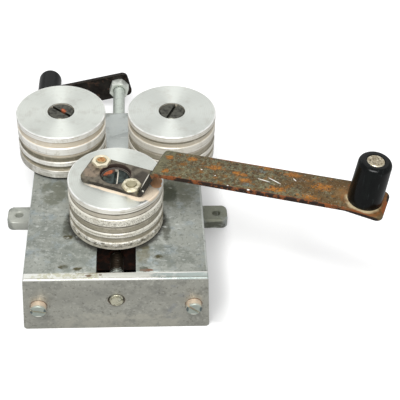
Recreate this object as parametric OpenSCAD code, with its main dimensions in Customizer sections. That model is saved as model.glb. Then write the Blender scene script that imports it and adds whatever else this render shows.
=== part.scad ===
// Three-roller bender for lead and zinc came.
// Two grooved rollers turn on fixed axles at the back of a cast base. A third, driven
// roller sits on a carriage that a lead screw draws towards them along a slot in the deck.
// Frame: the origin is midway between the two lug holes, on the bench. X runs across the
// base, Y runs from the front plate towards the adjusting crank, Z points up. Millimetres.

/* [Base casting] */
// Width of the deck
deck_w = 120; // [112:1:140]
// Height of the deck above the bench
base_h = 47.5; // [46:0.5:60]
// Length of the casting behind the front plate
cast_l = 172; // [166:1:200]
// Draft of the side walls, in degrees
side_draft = 3; // [0:0.5:5]
// Thickness of the deck
deck_t = 7; // [5:0.5:9]
// Thickness of the side walls
wall_t = 6; // [4:0.5:8]
// Thickness of the rear wall
rear_wall_t = 8; // [6:0.5:12]
// Radius of the upright rear corners
rear_corner_r = 4; // [2:0.5:6]
// Chamfer along the sides of the deck
deck_edge = 0.8; // [0.7:0.1:1.5]
// Chamfer across the ends of the deck and of the front plate
end_edge = 0.6; // [0.3:0.05:0.65]
// Thickness of the webs that tie the axle bosses to the side walls
web_t = 5; // [3:0.5:8]
// Diameter of the bosses under the back axles
axle_boss_d = 28; // [22:1:32]
// Depth of the axle bosses below the deck
axle_boss_h = 10; // [8:0.5:14]
// Diameter of the bearing boss inside the rear wall
bearing_boss_d = 24; // [18:1:30]
// Length of the bearing boss in front of the rear wall
bearing_boss_l = 8; // [4:0.5:14]
// Distance from the lug holes to the front face of the front plate
lug_to_front = 105; // [100:1:110]

/* [Bench lugs] */
// Distance between the two lug holes
lug_hole_span = 147.5; // [144:0.5:170]
// Diameter of the lug holes
lug_hole_d = 5.5; // [4:0.1:7]
// Width of a lug along the base
lug_w = 17.5; // [14:0.5:24]
// Thickness of a lug
lug_t = 8; // [5:0.5:12]
// Distance from a lug hole to the end of its lug
lug_end = 8.5; // [6:0.5:12]
// Radius of the outer corners of a lug
lug_corner_r = 4.5; // [1:0.5:6]

/* [Front plate] */
// Thickness of the front plate
plate_t = 6.5; // [5:0.5:9]
// Radius of the lower corners of the plate
plate_corner_r = 2.5; // [1:0.5:4]
// Diameter of the hole that the screw end looks through
plate_hole_d = 11; // [10.5:0.1:13]
// Distance between the two plate screws
plate_screw_span = 102.4; // [96:0.2:104]
// Height of the plate screws above the bench
plate_screw_z = 22.6; // [20:0.2:26]
// Thread diameter of the plate screws
plate_screw_d = 6.35; // [5:0.05:7]
// Length of a plate screw below its head
plate_screw_l = 22; // [16:0.5:26]
// Diameter of a cheese head
cheese_head_d = 10.4; // [9:0.1:13]
// Height of a cheese head
cheese_head_h = 5.2; // [4:0.1:7]
// Width of the slot in a cheese head
cheese_slot_w = 1.6; // [1:0.1:2.5]
// Depth of the slot in a cheese head
cheese_slot_h = 2; // [1:0.1:3]
// Direction of the slot in the left plate screw, in degrees
left_plate_slot_angle = 12; // [-90:1:90]
// Direction of the slot in the right plate screw, in degrees
right_plate_slot_angle = 40; // [-90:1:90]
// Diameter of the threaded corner bosses behind the plate
plate_boss_d = 14; // [11:0.5:16]
// Length of the corner bosses
plate_boss_l = 24; // [18:0.5:30]

/* [Rollers] */
// Diameter of a roller
roller_d = 63.5; // [56:0.5:64]
// Distance between the axles of the two back rollers
back_span = 79.4; // [76:0.2:84]
// Distance of the back axles behind the lug holes
back_axle_y = 25; // [20:0.5:28]
// Distance of the drive axle in front of the lug holes, as set
drive_axle_set = 48.5; // [47:0.5:52]
// Height of the top flange
top_flange_h = 4.6; // [3:0.1:6]
// Height of the upper groove
upper_groove_h = 4.8; // [3:0.1:6]
// Height of the wide ring
wide_ring_h = 6.4; // [4:0.1:9]
// Height of the middle groove
middle_groove_h = 6.1; // [3:0.1:8]
// Height of the narrow ring
narrow_ring_h = 4; // [3:0.1:7]
// Height of the lower groove
lower_groove_h = 4.1; // [3:0.1:7]
// Height of the bottom flange
bottom_flange_h = 6.3; // [3:0.1:8]
// Depth of the upper and middle grooves
groove_depth = 0.9; // [0.6:0.1:3]
// Depth of the lower groove
lower_groove_depth = 1.2; // [0.6:0.1:3]
// Broken edge of every flange and ring
roller_edge = 0.5; // [0.2:0.1:0.8]

/* [Axle screws] */
// Diameter of the shoulder that a roller turns on
shoulder_d = 12.7; // [10:0.1:16]
// Thread diameter below the shoulder
axle_thread_d = 9.525; // [8:0.025:10]
// Length of thread below the shoulder
axle_thread_l = 12; // [9:0.5:12.5]
// Diameter of the slotted head
axle_head_d = 18; // [17:0.1:20]
// Height of the slotted head
axle_head_h = 5; // [4:0.1:7]
// Outer diameter of the thrust washers
washer_d = 24; // [20:0.5:25]
// Thickness of the thrust washers
washer_t = 1.4; // [1:0.1:3]
// Width of the driver slots
driver_slot_w = 2; // [1.2:0.1:3]
// Depth of the driver slots
driver_slot_h = 2.4; // [1:0.1:3]
// Direction of the driver slot in the left axle, in degrees
left_slot_angle = -40; // [-90:1:90]
// Direction of the driver slot in the right axle, in degrees
right_slot_angle = 66; // [-90:1:90]
// Direction of the driver slot in the drive axle, in degrees
drive_slot_angle = 86; // [-90:1:90]

/* [Carriage and lead screw] */
// Width of the slot in the deck
slot_w = 26; // [25.5:0.5:32]
// Length of the carriage
carriage_l = 32; // [28:1:36]
// Width of the carriage below the deck
carriage_w = 44; // [38:1:50]
// Height of the carriage's underside above the bench
carriage_floor = 14; // [12:0.5:18]
// Travel of the carriage towards the back rollers
travel_back = 22.5; // [10:0.5:23]
// Travel of the carriage towards the front plate
travel_front = 22; // [10:0.5:22]
// Diameter of the lead screw
screw_d = 9.525; // [8:0.025:10]
// Height of the lead screw above the bench
screw_z = 27.5; // [26:0.5:28]
// Length of the screw end that stands out of the front plate
screw_stub = 1.7; // [1.2:0.1:6]
// Chamfer on both ends of the screw
screw_chamfer = 1; // [0.5:0.1:1.5]
// Outer diameter of the thrust collars
collar_d = 19; // [16:0.5:22]
// Length of a thrust collar
collar_l = 9.5; // [8:0.5:10]
// Diameter of a collar's set screw
set_screw_d = 4; // [3:0.1:5]
// Width of the slot in a set screw
set_slot_w = 0.8; // [0.5:0.1:1.2]
// Depth of the slot in a set screw
set_slot_h = 1; // [0.5:0.1:2]

/* [Adjusting crank] */
// Distance from the casting to the adjusting crank
crank_standoff = 64; // [40:1:80]
// Distance from the lead screw to the adjusting knob
crank_throw = 62; // [50:1:80]
// Angle of the crank below the horizontal, in degrees
crank_drop = 14; // [0:0.1:14]
// Width of the adjusting crank
crank_bar_w = 22; // [20:0.5:25]
// Thickness of the flat bar that both cranks are made of
bar_t = 3.2; // [2.5:0.1:5]
// Radius of the corners of both bars
bar_corner_r = 4.5; // [2:0.5:8]
// Length of the crank past the lead screw
crank_tail = 9; // [8:0.5:14]
// Size of the crank nuts across their flats
crank_nut_af = 14.3; // [13:0.1:19]
// Thickness of the nut in front of the crank
inner_nut_h = 8; // [5:0.5:10]
// Thickness of the lock nut behind the crank
outer_nut_h = 5.5; // [4:0.5:8]
// Length of the screw past the lock nut
screw_tail = 2; // [1:0.5:6]
// Diameter of the adjusting knob
adjust_knob_d = 19; // [15:0.5:21]
// Length of the adjusting knob
adjust_knob_l = 33; // [20:1:40]
// Radius of the domed end of the adjusting knob
adjust_knob_dome = 7; // [3:0.5:7]
// Diameter of the adjusting knob's spindle
adjust_spindle_d = 6.35; // [5:0.05:8]
// Diameter of the adjusting spindle's head
adjust_head_d = 8.5; // [8.2:0.1:10]

/* [Drive crank] */
// Width of the drive crank
bar_w = 25.4; // [23:0.1:28]
// Direction of the drive crank from the X axis, in degrees
drive_angle = -23.6; // [-45:0.1:45]
// Length of the flat behind the drive axle
flat_back = 21; // [20:0.5:24]
// Length of the flat in front of the drive axle
flat_front = 22.5; // [22:0.5:24]
// Distance from the drive axle to the top of the riser
riser_reach = 31.5; // [29:0.5:36]
// Height of the riser above the roller, to the top of the bar
riser_h = 24; // [16:0.5:30]
// Upward slope of the long stretch, in degrees
long_slope = 6.8; // [0:0.1:10]
// Distance from the drive axle to the bend at the knob end
end_bend_reach = 154; // [120:1:170]
// Downward slope of the knob end, in degrees
end_slope = 4; // [0:0.1:10]
// Distance from the end bend to the knob, along the base plane
knob_past_bend = 9; // [7:0.5:14]
// Distance from the knob to the end of the bar, along the base plane
end_past_knob = 13.5; // [12:0.5:20]
// Inside radius of the bends
bend_r = 2; // [1:0.1:3]
// Diameter of the clearance hole round the axle head
arm_hole_d = 20; // [19:0.1:21]
// Distance of the outer stud from the drive axle, along the bar
stud_along = 14.8; // [14:0.1:16]
// Distance of the outer stud from the middle of the bar
stud_across = 7.8; // [7:0.1:8]
// Distance of the tail stud from the drive axle, along the bar
tail_stud_along = 13.3; // [13:0.1:15]
// Distance of the tail stud from the middle of the bar
tail_stud_across = 6.7; // [6.2:0.1:8]
// Diameter of the studs
stud_d = 6.35; // [5:0.05:6.5]
// Length of a stud below the top of the roller
stud_l = 12; // [8:0.5:16]
// Size of the stud nuts across their flats
stud_nut_af = 11.1; // [9:0.1:11.5]
// Thickness of the stud nuts
stud_nut_h = 2.4; // [1.8:0.1:5]
// Countersink round the bore of every nut, beyond the thread
nut_countersink = 0.6; // [0.2:0.1:0.8]
// Length of a stud above its nut
stud_tail = 0.4; // [0.2:0.1:2]
// Diameter of the drive knob below its rounded top
drive_knob_d = 20; // [16:0.5:24]
// Diameter of the drive knob at its foot
drive_knob_foot_d = 21.2; // [16:0.2:24]
// Length of the drive knob
drive_knob_l = 30; // [24:1:45]
// Radius of the drive knob's top edge
drive_knob_edge = 2.8; // [1:0.1:3]
// Diameter of the drive knob's spindle
drive_spindle_d = 8; // [6:0.1:9]
// Diameter of the drive spindle's head
spindle_head_d = 10.5; // [10:0.1:13]
// Height of both spindles' heads
spindle_head_h = 2; // [1.5:0.1:3]
// Diameter of the head that is riveted over behind each bar
rivet_d = 12; // [10:0.1:14]
// Height of that riveted head
rivet_h = 2; // [1:0.1:3]
// Broken edge of the spindles' heads
spindle_edge = 0.5; // [0.2:0.1:0.8]

/* [Clearances] */
// Radial clearance of everything that turns or slides on a round
run_clear = 0.05; // [0.02:0.01:0.1]
// Radial clearance of screws, studs and rivets in their holes
seat_clear = 0.05; // [0.02:0.01:0.1]
// Clearance of screws that pass freely through a hole
pass_clear = 0.3; // [0.1:0.05:0.6]
// End float between turning faces
float_clear = 0.2; // [0.1:0.05:0.4]
// Clearance of the carriage in the slot and under the deck
slide_clear = 0.2; // [0.1:0.05:0.4]
// Clearance round the axle heads
head_clear = 0.6; // [0.3:0.1:1]
// Room between the carriage and the closed end of its slot
slot_end_clear = 1; // [0.5:0.1:3]
// Depth of a tapped hole past the end of its screw
tap_clear = 0.5; // [0.2:0.1:1]

/* [Hidden] */
$fn = 64;
// How far cutters reach past the faces that they cut
cut = 1;
// Flats that a bend is rounded with
bend_steps = 6;
left = -1;
right = 1;

front_y = -lug_to_front;
cast_front_y = front_y + plate_t;
cast_back_y = cast_front_y + cast_l;
flare = base_h * tan(side_draft);
bottom_w = deck_w + 2 * flare;
deck_under = base_h - deck_t;
bearing_front_y = cast_back_y - rear_wall_t - bearing_boss_l;

drive_y = -drive_axle_set;
slot_end_y = drive_y + travel_back + carriage_l / 2 + slot_end_clear;
roller_z = base_h + washer_t + float_clear;
roller_h = bottom_flange_h + lower_groove_h + narrow_ring_h + middle_groove_h
    + wide_ring_h + upper_groove_h + top_flange_h;
roller_top = roller_z + roller_h;
axle_head_top = roller_top - float_clear;
axle_head_under = axle_head_top - axle_head_h;

crank_y = cast_back_y + crank_standoff;
crank_back_y = crank_y + bar_t;
screw_front_y = front_y - screw_stub;
screw_back_y = crank_back_y + outer_nut_h + screw_tail;
collar_front_y = cast_front_y + float_clear;
collar_rear_y = bearing_front_y - float_clear - collar_l;

drive_throw = end_bend_reach + knob_past_bend;
arm_reach = drive_throw + end_past_knob;
riser_top = riser_h - bar_t / 2;
end_bend_z = riser_top + (end_bend_reach - riser_reach) * tan(long_slope);
knob_seat_z = end_bend_z - knob_past_bend * tan(end_slope);
arm_tip_z = knob_seat_z - end_past_knob * tan(end_slope);
arm_path = [
    [-flat_back, bar_t / 2],
    [flat_front, bar_t / 2],
    [riser_reach, riser_top],
    [end_bend_reach, end_bend_z],
    [arm_reach, arm_tip_z]
];
stud_places = [[-tail_stud_along, tail_stud_across], [stud_along, -stud_across]];

// Outline of the base across its width, drafted and with broken deck edges
module base_outline(inset = 0, height = base_h, edge = deck_edge, below = 0) {
    foot = bottom_w / 2 - inset + below * tan(side_draft);
    head = bottom_w / 2 - inset - height * tan(side_draft);
    polygon([
        [-foot, -below], [foot, -below],
        [head, height - edge], [head - edge, height],
        [-head + edge, height], [-head, height - edge]
    ]);
}

// Cutter for the broken edge across the deck at one place along Y
module edge_cutter(y) {
    side = end_edge * sqrt(2);
    translate([0, y, base_h])
        rotate([45, 0, 0])
            cube([2 * deck_w, side, side], center = true);
}

// A flat outline in X and Z, made solid between two places along Y
module along_y(from_y, to_y) {
    translate([0, to_y, 0])
        rotate([90, 0, 0])
            linear_extrude(to_y - from_y)
                children();
}

// A round bar between two places along Y
module rod_y(d, from_y, to_y) {
    translate([0, from_y, 0])
        rotate([-90, 0, 0])
            cylinder(d = d, h = to_y - from_y);
}

// A strip with two rounded corners at its far end, lying along X from the origin
module tab_outline(len, w, r) {
    translate([0, -w / 2])
        square([len - r, w]);
    translate([0, -w / 2 + r])
        square([len, w - 2 * r]);
    for (side = [left, right])
        translate([len - r, side * (w / 2 - r)])
            circle(r);
}

// A strip with four rounded corners, lying along X between two places
module bar_outline(from_x, to_x, w, r) {
    middle = (from_x + to_x) / 2;
    for (way = [0, 180])
        translate([middle, 0])
            rotate(way)
                tab_outline((to_x - from_x) / 2, w, r);
}

// A direction of length 1, and one turned by an angle
function unit(v) = v / norm(v);
function turned(v, angle) = [
    v[0] * cos(angle) - v[1] * sin(angle), v[0] * sin(angle) + v[1] * cos(angle)
];

// One face of a bar at its bend from a by b to c, as points along an arc
function bend(a, b, c, side) =
    let (
        before = unit(b - a),
        after = unit(c - b),
        angle = atan2(before[0] * after[1] - before[1] * after[0], before * after),
        way = sign(angle),
        r = bend_r + bar_t / 2,
        spoke = -way * turned(before, 90),
        centre = b - before * r * tan(abs(angle) / 2) - spoke * r
    )
    [for (k = [0 : bend_steps]) centre + turned(spoke, angle * k / bend_steps) * (r - way * side)];

// One face of a bent bar, at a distance to the left of the line of points
function bar_face(points, side) =
    let (last = len(points) - 1)
    concat(
        [points[0] + turned(unit(points[1] - points[0]), 90) * side],
        [for (i = [1 : last - 1]) each bend(points[i - 1], points[i], points[i + 1], side)],
        [points[last] + turned(unit(points[last] - points[last - 1]), 90) * side]
    );

// Edge view of a bent bar that follows a line of points
module bent_bar(points) {
    upper = bar_face(points, bar_t / 2);
    lower = bar_face(points, -bar_t / 2);
    polygon(concat(lower, [for (i = [len(upper) - 1 : -1 : 0]) upper[i]]));
}

// A hexagon nut with both faces chamfered, standing on the origin
module hex_nut(af, h, bore_d) {
    corner = af / cos(30);
    chamfer = (corner - af) / 2 * tan(30);
    sink_d = bore_d + 2 * nut_countersink;
    difference() {
        intersection() {
            cylinder(d = corner, h = h, $fn = 6);
            rotate_extrude()
                polygon([
                    [0, 0], [af / 2, 0], [corner / 2, chamfer],
                    [corner / 2, h - chamfer], [af / 2, h], [0, h]
                ]);
        }
        translate([0, 0, -cut])
            cylinder(d = bore_d, h = h + 2 * cut);
        for (flip = [0, 1])
            translate([0, 0, flip * h])
                mirror([0, 0, flip])
                    cylinder(d1 = sink_d, d2 = bore_d, h = nut_countersink);
    }
}

// A ring that turns or seats on a shaft, standing on the origin
module ring(outer_d, inner_d, h) {
    difference() {
        cylinder(d = outer_d, h = h);
        translate([0, 0, -cut])
            cylinder(d = inner_d, h = h + 2 * cut);
    }
}

// One edge-broken band of a roller, as points from its lower to its upper edge
function band(z, h, r) = [
    [r - roller_edge, z], [r, z + roller_edge],
    [r, z + h - roller_edge], [r - roller_edge, z + h]
];

// The floor of one groove of a roller
function floor_of(z, h, depth) = [
    [roller_d / 2 - depth, z], [roller_d / 2 - depth, z + h]
];

// A grooved roller on its axle place, standing on its thrust washer
module grooved_roller() {
    r = roller_d / 2;
    z1 = bottom_flange_h;
    z2 = z1 + lower_groove_h;
    z3 = z2 + narrow_ring_h;
    z4 = z3 + middle_groove_h;
    z5 = z4 + wide_ring_h;
    z6 = z5 + upper_groove_h;
    recess = axle_head_h + 2 * float_clear;
    translate([0, 0, roller_z])
        difference() {
            rotate_extrude()
                polygon(concat(
                    [[0, 0]],
                    band(0, bottom_flange_h, r),
                    floor_of(z1, lower_groove_h, lower_groove_depth),
                    band(z2, narrow_ring_h, r),
                    floor_of(z3, middle_groove_h, groove_depth),
                    band(z4, wide_ring_h, r),
                    floor_of(z5, upper_groove_h, groove_depth),
                    band(z6, top_flange_h, r),
                    [[0, roller_h]]
                ));
            translate([0, 0, -cut])
                cylinder(d = shoulder_d + 2 * run_clear, h = roller_h);
            translate([0, 0, roller_h - recess])
                cylinder(d = axle_head_d + 2 * head_clear, h = recess + cut);
        }
}

// A slotted shoulder screw, seated on the deck or on the carriage
module axle_screw(slot_angle) {
    difference() {
        union() {
            translate([0, 0, base_h - axle_thread_l])
                cylinder(d = axle_thread_d, h = axle_thread_l);
            translate([0, 0, base_h])
                cylinder(d = shoulder_d, h = axle_head_under - base_h);
            translate([0, 0, axle_head_under])
                rotate_extrude()
                    polygon([
                        [0, 0], [axle_head_d / 2, 0],
                        [axle_head_d / 2, axle_head_h - roller_edge],
                        [axle_head_d / 2 - roller_edge, axle_head_h], [0, axle_head_h]
                    ]);
        }
        translate([0, 0, axle_head_top - driver_slot_h])
            rotate(slot_angle)
                translate([-axle_head_d, -driver_slot_w / 2, 0])
                    cube([2 * axle_head_d, driver_slot_w, driver_slot_h + cut]);
    }
}

// A thrust washer lying on the deck or on the carriage
module thrust_washer() {
    translate([0, 0, base_h])
        ring(washer_d, shoulder_d + 2 * pass_clear, washer_t);
}

// A place on the left or the right back axle
module at_back_axle(side) {
    translate([side * back_span / 2, back_axle_y, 0])
        children();
}

// A place on the drive axle, turned to the drive crank where asked
module at_drive_axle(turned = false) {
    translate([0, drive_y, 0])
        rotate(turned ? drive_angle : 0)
            children();
}

// A place on the screw axis, with Y along the screw
module at_screw() {
    translate([0, 0, screw_z])
        children();
}

// A place on the knob end of the drive crank, square to the bar
module at_drive_knob() {
    at_drive_axle(true)
        translate([drive_throw, 0, roller_top + knob_seat_z])
            rotate([0, end_slope, 0])
                children();
}

// A place on the adjusting knob's axis, with Z pointing away from the base
module at_adjusting_knob() {
    at_screw()
        rotate([0, -crank_drop, 0])
            translate([-crank_throw, crank_y, 0])
                rotate([-90, 0, 0])
                    children();
}

// Cutter for one upright rear corner of the casting
module rear_corner(side) {
    r = rear_corner_r;
    mirror([side < 0 ? 1 : 0, 0, 0])
        translate([bottom_w / 2, cast_back_y, 0])
            rotate([0, -side_draft, 0])
                translate([-r, -r, -cut])
                    linear_extrude(base_h + 3 * cut)
                        difference() {
                            square(r + cut);
                            circle(r);
                        }
}

// A lug with its hole on the X axis, reaching in to the side wall
module lug(side) {
    inner = bottom_w / 2 - wall_t / 2;
    reach = lug_hole_span / 2 + lug_end - inner;
    mirror([side < 0 ? 1 : 0, 0, 0])
        translate([inner, 0, 0])
            linear_extrude(lug_t)
                tab_outline(reach, lug_w, lug_corner_r);
}

// A boss under a back axle, with its web out to the side wall
module axle_boss(side) {
    at_back_axle(side)
        translate([0, 0, deck_under - axle_boss_h])
            cylinder(d = axle_boss_d, h = axle_boss_h + cut);
    reach = deck_w / 2 - wall_t / 2 - back_span / 2;
    translate([side > 0 ? back_span / 2 : -back_span / 2 - reach, back_axle_y - web_t / 2,
            deck_under - axle_boss_h])
        cube([reach, web_t, axle_boss_h + cut]);
}

// A threaded boss in a front corner, tied to the side wall
module plate_boss(side) {
    x = side * plate_screw_span / 2;
    reach = deck_w / 2 - wall_t / 2 - plate_screw_span / 2;
    translate([x, 0, plate_screw_z])
        rod_y(plate_boss_d, cast_front_y, cast_front_y + plate_boss_l);
    translate([side > 0 ? x : x - reach, cast_front_y, plate_screw_z - plate_boss_d / 2])
        cube([reach, plate_boss_l, plate_boss_d]);
}

module base_casting() {
    color("silver")
        difference() {
            union() {
                difference() {
                    along_y(cast_front_y, cast_back_y)
                        base_outline();
                    along_y(cast_front_y - cut, cast_back_y - rear_wall_t)
                        base_outline(wall_t, deck_under, 2 * deck_edge, cut);
                }
                for (side = [left, right]) {
                    lug(side);
                    axle_boss(side);
                    plate_boss(side);
                }
                at_screw()
                    rod_y(bearing_boss_d, bearing_front_y, cast_back_y - cut);
            }
            for (side = [left, right]) {
                rear_corner(side);
                at_back_axle(side)
                    translate([0, 0, deck_under - axle_boss_h - cut])
                        cylinder(d = axle_thread_d + 2 * seat_clear, h = base_h);
                translate([side * lug_hole_span / 2, 0, -cut])
                    cylinder(d = lug_hole_d, h = lug_t + 2 * cut);
                translate([side * plate_screw_span / 2, 0, plate_screw_z])
                    rod_y(plate_screw_d + 2 * seat_clear, cast_front_y - cut,
                        cast_front_y + plate_boss_l + cut);
            }
            translate([-slot_w / 2, cast_front_y - cut, deck_under - cut])
                cube([slot_w, slot_end_y - cast_front_y + cut, deck_t + 2 * cut]);
            at_screw()
                rod_y(screw_d + 2 * run_clear, bearing_front_y - cut, cast_back_y + cut);
            edge_cutter(cast_front_y);
            edge_cutter(cast_back_y);
        }
}

// Outline of the front plate, with rounded lower corners
module plate_outline() {
    r = plate_corner_r;
    corner_x = bottom_w / 2 - r - r * tan(side_draft);
    intersection() {
        base_outline();
        union() {
            translate([-bottom_w / 2, r])
                square([bottom_w, base_h]);
            translate([-corner_x, 0])
                square([2 * corner_x, base_h]);
            for (side = [left, right])
                translate([side * corner_x, r])
                    circle(r);
        }
    }
}

module front_plate() {
    color("silver")
        difference() {
            along_y(front_y, cast_front_y)
                plate_outline();
            at_screw()
                rod_y(plate_hole_d, front_y - cut, cast_front_y + cut);
            for (side = [left, right])
                translate([side * plate_screw_span / 2, 0, plate_screw_z])
                    rod_y(plate_screw_d + 2 * pass_clear, front_y - cut, cast_front_y + cut);
            edge_cutter(front_y);
            edge_cutter(cast_front_y);
        }
}

// One slotted cheese-head screw, head to the front
module plate_screw(slot_angle) {
    difference() {
        union() {
            rod_y(plate_screw_d, front_y - cut, front_y + plate_screw_l);
            translate([0, front_y, 0])
                rotate([90, 0, 0])
                    rotate_extrude()
                        polygon([
                            [0, 0], [cheese_head_d / 2, 0],
                            [cheese_head_d / 2, cheese_head_h - roller_edge],
                            [cheese_head_d / 2 - roller_edge, cheese_head_h],
                            [0, cheese_head_h]
                        ]);
        }
        rotate([0, slot_angle, 0])
            translate([-cheese_head_d, front_y - cheese_head_h - cut, -cheese_slot_w / 2])
                cube([2 * cheese_head_d, cheese_slot_h + cut, cheese_slot_w]);
    }
}

module front_plate_screws() {
    color("lightgray")
        for (side = [left, right])
            translate([side * plate_screw_span / 2, 0, plate_screw_z])
                plate_screw(side < 0 ? left_plate_slot_angle : right_plate_slot_angle);
}

module left_axle_screw() {
    color("dimgray")
        at_back_axle(left)
            axle_screw(left_slot_angle);
}

module right_axle_screw() {
    color("dimgray")
        at_back_axle(right)
            axle_screw(right_slot_angle);
}

module left_thrust_washer() {
    color("gray")
        at_back_axle(left)
            thrust_washer();
}

module right_thrust_washer() {
    color("gray")
        at_back_axle(right)
            thrust_washer();
}

module left_roller() {
    color("gainsboro")
        at_back_axle(left)
            grooved_roller();
}

module right_roller() {
    color("gainsboro")
        at_back_axle(right)
            grooved_roller();
}

module carriage() {
    neck_w = slot_w - 2 * slide_clear;
    shelf = deck_under - slide_clear;
    color("saddlebrown")
        difference() {
            translate([0, drive_y, 0])
                union() {
                    translate([-carriage_w / 2, -carriage_l / 2, carriage_floor])
                        cube([carriage_w, carriage_l, shelf - carriage_floor]);
                    translate([-neck_w / 2, -carriage_l / 2, shelf - cut])
                        cube([neck_w, carriage_l, base_h - shelf + cut]);
                }
            at_screw()
                rod_y(screw_d + 2 * run_clear, drive_y - carriage_l, drive_y + carriage_l);
            at_drive_axle()
                translate([0, 0, base_h - axle_thread_l - tap_clear])
                    cylinder(d = axle_thread_d + 2 * seat_clear, h = axle_thread_l + tap_clear + cut);
        }
}

module drive_axle_screw() {
    color("dimgray")
        at_drive_axle()
            axle_screw(drive_slot_angle);
}

module drive_thrust_washer() {
    color("gray")
        at_drive_axle()
            thrust_washer();
}

module lead_screw() {
    length = screw_back_y - screw_front_y;
    color("lightsteelblue")
        at_screw()
            translate([0, screw_front_y, 0])
                rotate([-90, 0, 0])
                    rotate_extrude()
                        polygon([
                            [0, 0], [screw_d / 2 - screw_chamfer, 0],
                            [screw_d / 2, screw_chamfer],
                            [screw_d / 2, length - screw_chamfer],
                            [screw_d / 2 - screw_chamfer, length], [0, length]
                        ]);
}

// A thrust collar with its radial set-screw hole
module thrust_collar(from_y) {
    difference() {
        at_screw()
            translate([0, from_y, 0])
                rotate([-90, 0, 0])
                    ring(collar_d, screw_d + 2 * seat_clear, collar_l);
        translate([0, from_y + collar_l / 2, screw_z])
            cylinder(d = set_screw_d + 2 * seat_clear, h = collar_d);
    }
}

module front_thrust_collar() {
    color("slategray")
        thrust_collar(collar_front_y);
}

module rear_thrust_collar() {
    color("slategray")
        thrust_collar(collar_rear_y);
}

module collar_set_screws() {
    stand = screw_d / 2 + seat_clear;
    length = collar_d / 2 - stand - float_clear;
    color("black")
        for (y = [collar_front_y, collar_rear_y])
            translate([0, y + collar_l / 2, screw_z + stand])
                difference() {
                    cylinder(d = set_screw_d, h = length);
                    translate([-set_screw_d, -set_slot_w / 2, length - set_slot_h])
                        cube([2 * set_screw_d, set_slot_w, set_slot_h + cut]);
                }
}

// Outline of the adjusting crank, round about the knob's axis
module crank_outline() {
    translate([-crank_throw, 0]) {
        circle(d = crank_bar_w);
        tab_outline(crank_throw + crank_tail, crank_bar_w, bar_corner_r);
    }
}

module adjusting_crank_arm() {
    color("darkslategray")
        at_screw()
            rotate([0, -crank_drop, 0])
                difference() {
                    along_y(crank_y, crank_back_y)
                        crank_outline();
                    rod_y(screw_d + 2 * seat_clear, crank_y - cut, crank_back_y + cut);
                    translate([-crank_throw, 0, 0])
                        rod_y(adjust_spindle_d + 2 * seat_clear, crank_y - cut, crank_back_y + cut);
                }
}

// A nut on the screw, with two corners in line with the crank
module crank_nut(from_y, h) {
    at_screw()
        translate([0, from_y, 0])
            rotate([-90, -crank_drop, 0])
                hex_nut(crank_nut_af, h, screw_d + 2 * seat_clear);
}

module crank_inner_nut() {
    color("gainsboro")
        crank_nut(crank_y - inner_nut_h, inner_nut_h);
}

module crank_lock_nut() {
    color("gainsboro")
        crank_nut(crank_back_y, outer_nut_h);
}

// A turned spindle, riveted through a bar, with its head in the end of the knob
module knob_spindle(d, knob_l, head_d) {
    head_z = float_clear + knob_l - spindle_head_h;
    top = head_z + spindle_head_h;
    rivet_z = -bar_t - rivet_h;
    rotate_extrude()
        polygon([
            [0, rivet_z], [rivet_d / 2 - spindle_edge, rivet_z],
            [rivet_d / 2, rivet_z + spindle_edge], [rivet_d / 2, -bar_t],
            [d / 2, -bar_t], [d / 2, head_z],
            [head_d / 2, head_z], [head_d / 2, top - spindle_edge],
            [head_d / 2 - spindle_edge, top], [0, top]
        ]);
}

// A tapered knob with a rounded end, a bore and a pocket for the spindle's head
module knob(d, foot_d, len, edge, bore_d, head_d) {
    pocket = spindle_head_h + float_clear;
    translate([0, 0, float_clear])
        difference() {
            rotate_extrude()
                union() {
                    polygon([[0, 0], [foot_d / 2, 0], [d / 2, len - edge], [0, len - edge]]);
                    square([d / 2 - edge, len]);
                    translate([d / 2 - edge, len - edge])
                        intersection() {
                            circle(edge);
                            square(edge);
                        }
                }
            translate([0, 0, -cut])
                cylinder(d = bore_d + 2 * run_clear, h = len + 2 * cut);
            translate([0, 0, len - pocket])
                cylinder(d = head_d + 2 * pass_clear, h = pocket + cut);
        }
}

module adjusting_knob_spindle() {
    color("gray")
        at_adjusting_knob()
            translate([0, 0, bar_t])
                knob_spindle(adjust_spindle_d, adjust_knob_l, adjust_head_d);
}

module adjusting_knob() {
    color("black")
        at_adjusting_knob()
            translate([0, 0, bar_t])
                knob(adjust_knob_d, adjust_knob_d, adjust_knob_l, adjust_knob_dome,
                    adjust_spindle_d, adjust_head_d);
}

module drive_roller() {
    color("gainsboro")
        difference() {
            at_drive_axle()
                grooved_roller();
            at_drive_axle(true)
                for (p = stud_places)
                    translate([p[0], p[1], roller_top - stud_l])
                        cylinder(d = stud_d + 2 * seat_clear, h = stud_l + cut);
        }
}

module drive_crank_arm() {
    color("peru")
        difference() {
            at_drive_axle(true)
                translate([0, 0, roller_top])
                    difference() {
                        intersection() {
                            along_y(-bar_w, bar_w)
                                bent_bar(arm_path);
                            translate([0, 0, -bar_t])
                                linear_extrude(end_bend_z + 3 * bar_t)
                                    bar_outline(-flat_back, arm_reach, bar_w, bar_corner_r);
                        }
                        translate([0, 0, -cut])
                            cylinder(d = arm_hole_d, h = bar_t + 2 * cut);
                        for (p = stud_places)
                            translate([p[0], p[1], -cut])
                                cylinder(d = stud_d + 2 * pass_clear, h = bar_t + 2 * cut);
                    }
            at_drive_knob()
                translate([0, 0, -2 * bar_t])
                    cylinder(d = drive_spindle_d + 2 * seat_clear, h = 4 * bar_t);
        }
}

module crank_studs() {
    color("lightgray")
        at_drive_axle(true)
            for (p = stud_places)
                translate([p[0], p[1], roller_top - stud_l])
                    cylinder(d = stud_d, h = stud_l + bar_t + stud_nut_h + stud_tail);
}

module crank_nuts() {
    color("khaki")
        at_drive_axle(true)
            for (p = stud_places)
                translate([p[0], p[1], roller_top + bar_t])
                    rotate(30)
                        hex_nut(stud_nut_af, stud_nut_h, stud_d + 2 * seat_clear);
}

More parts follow.
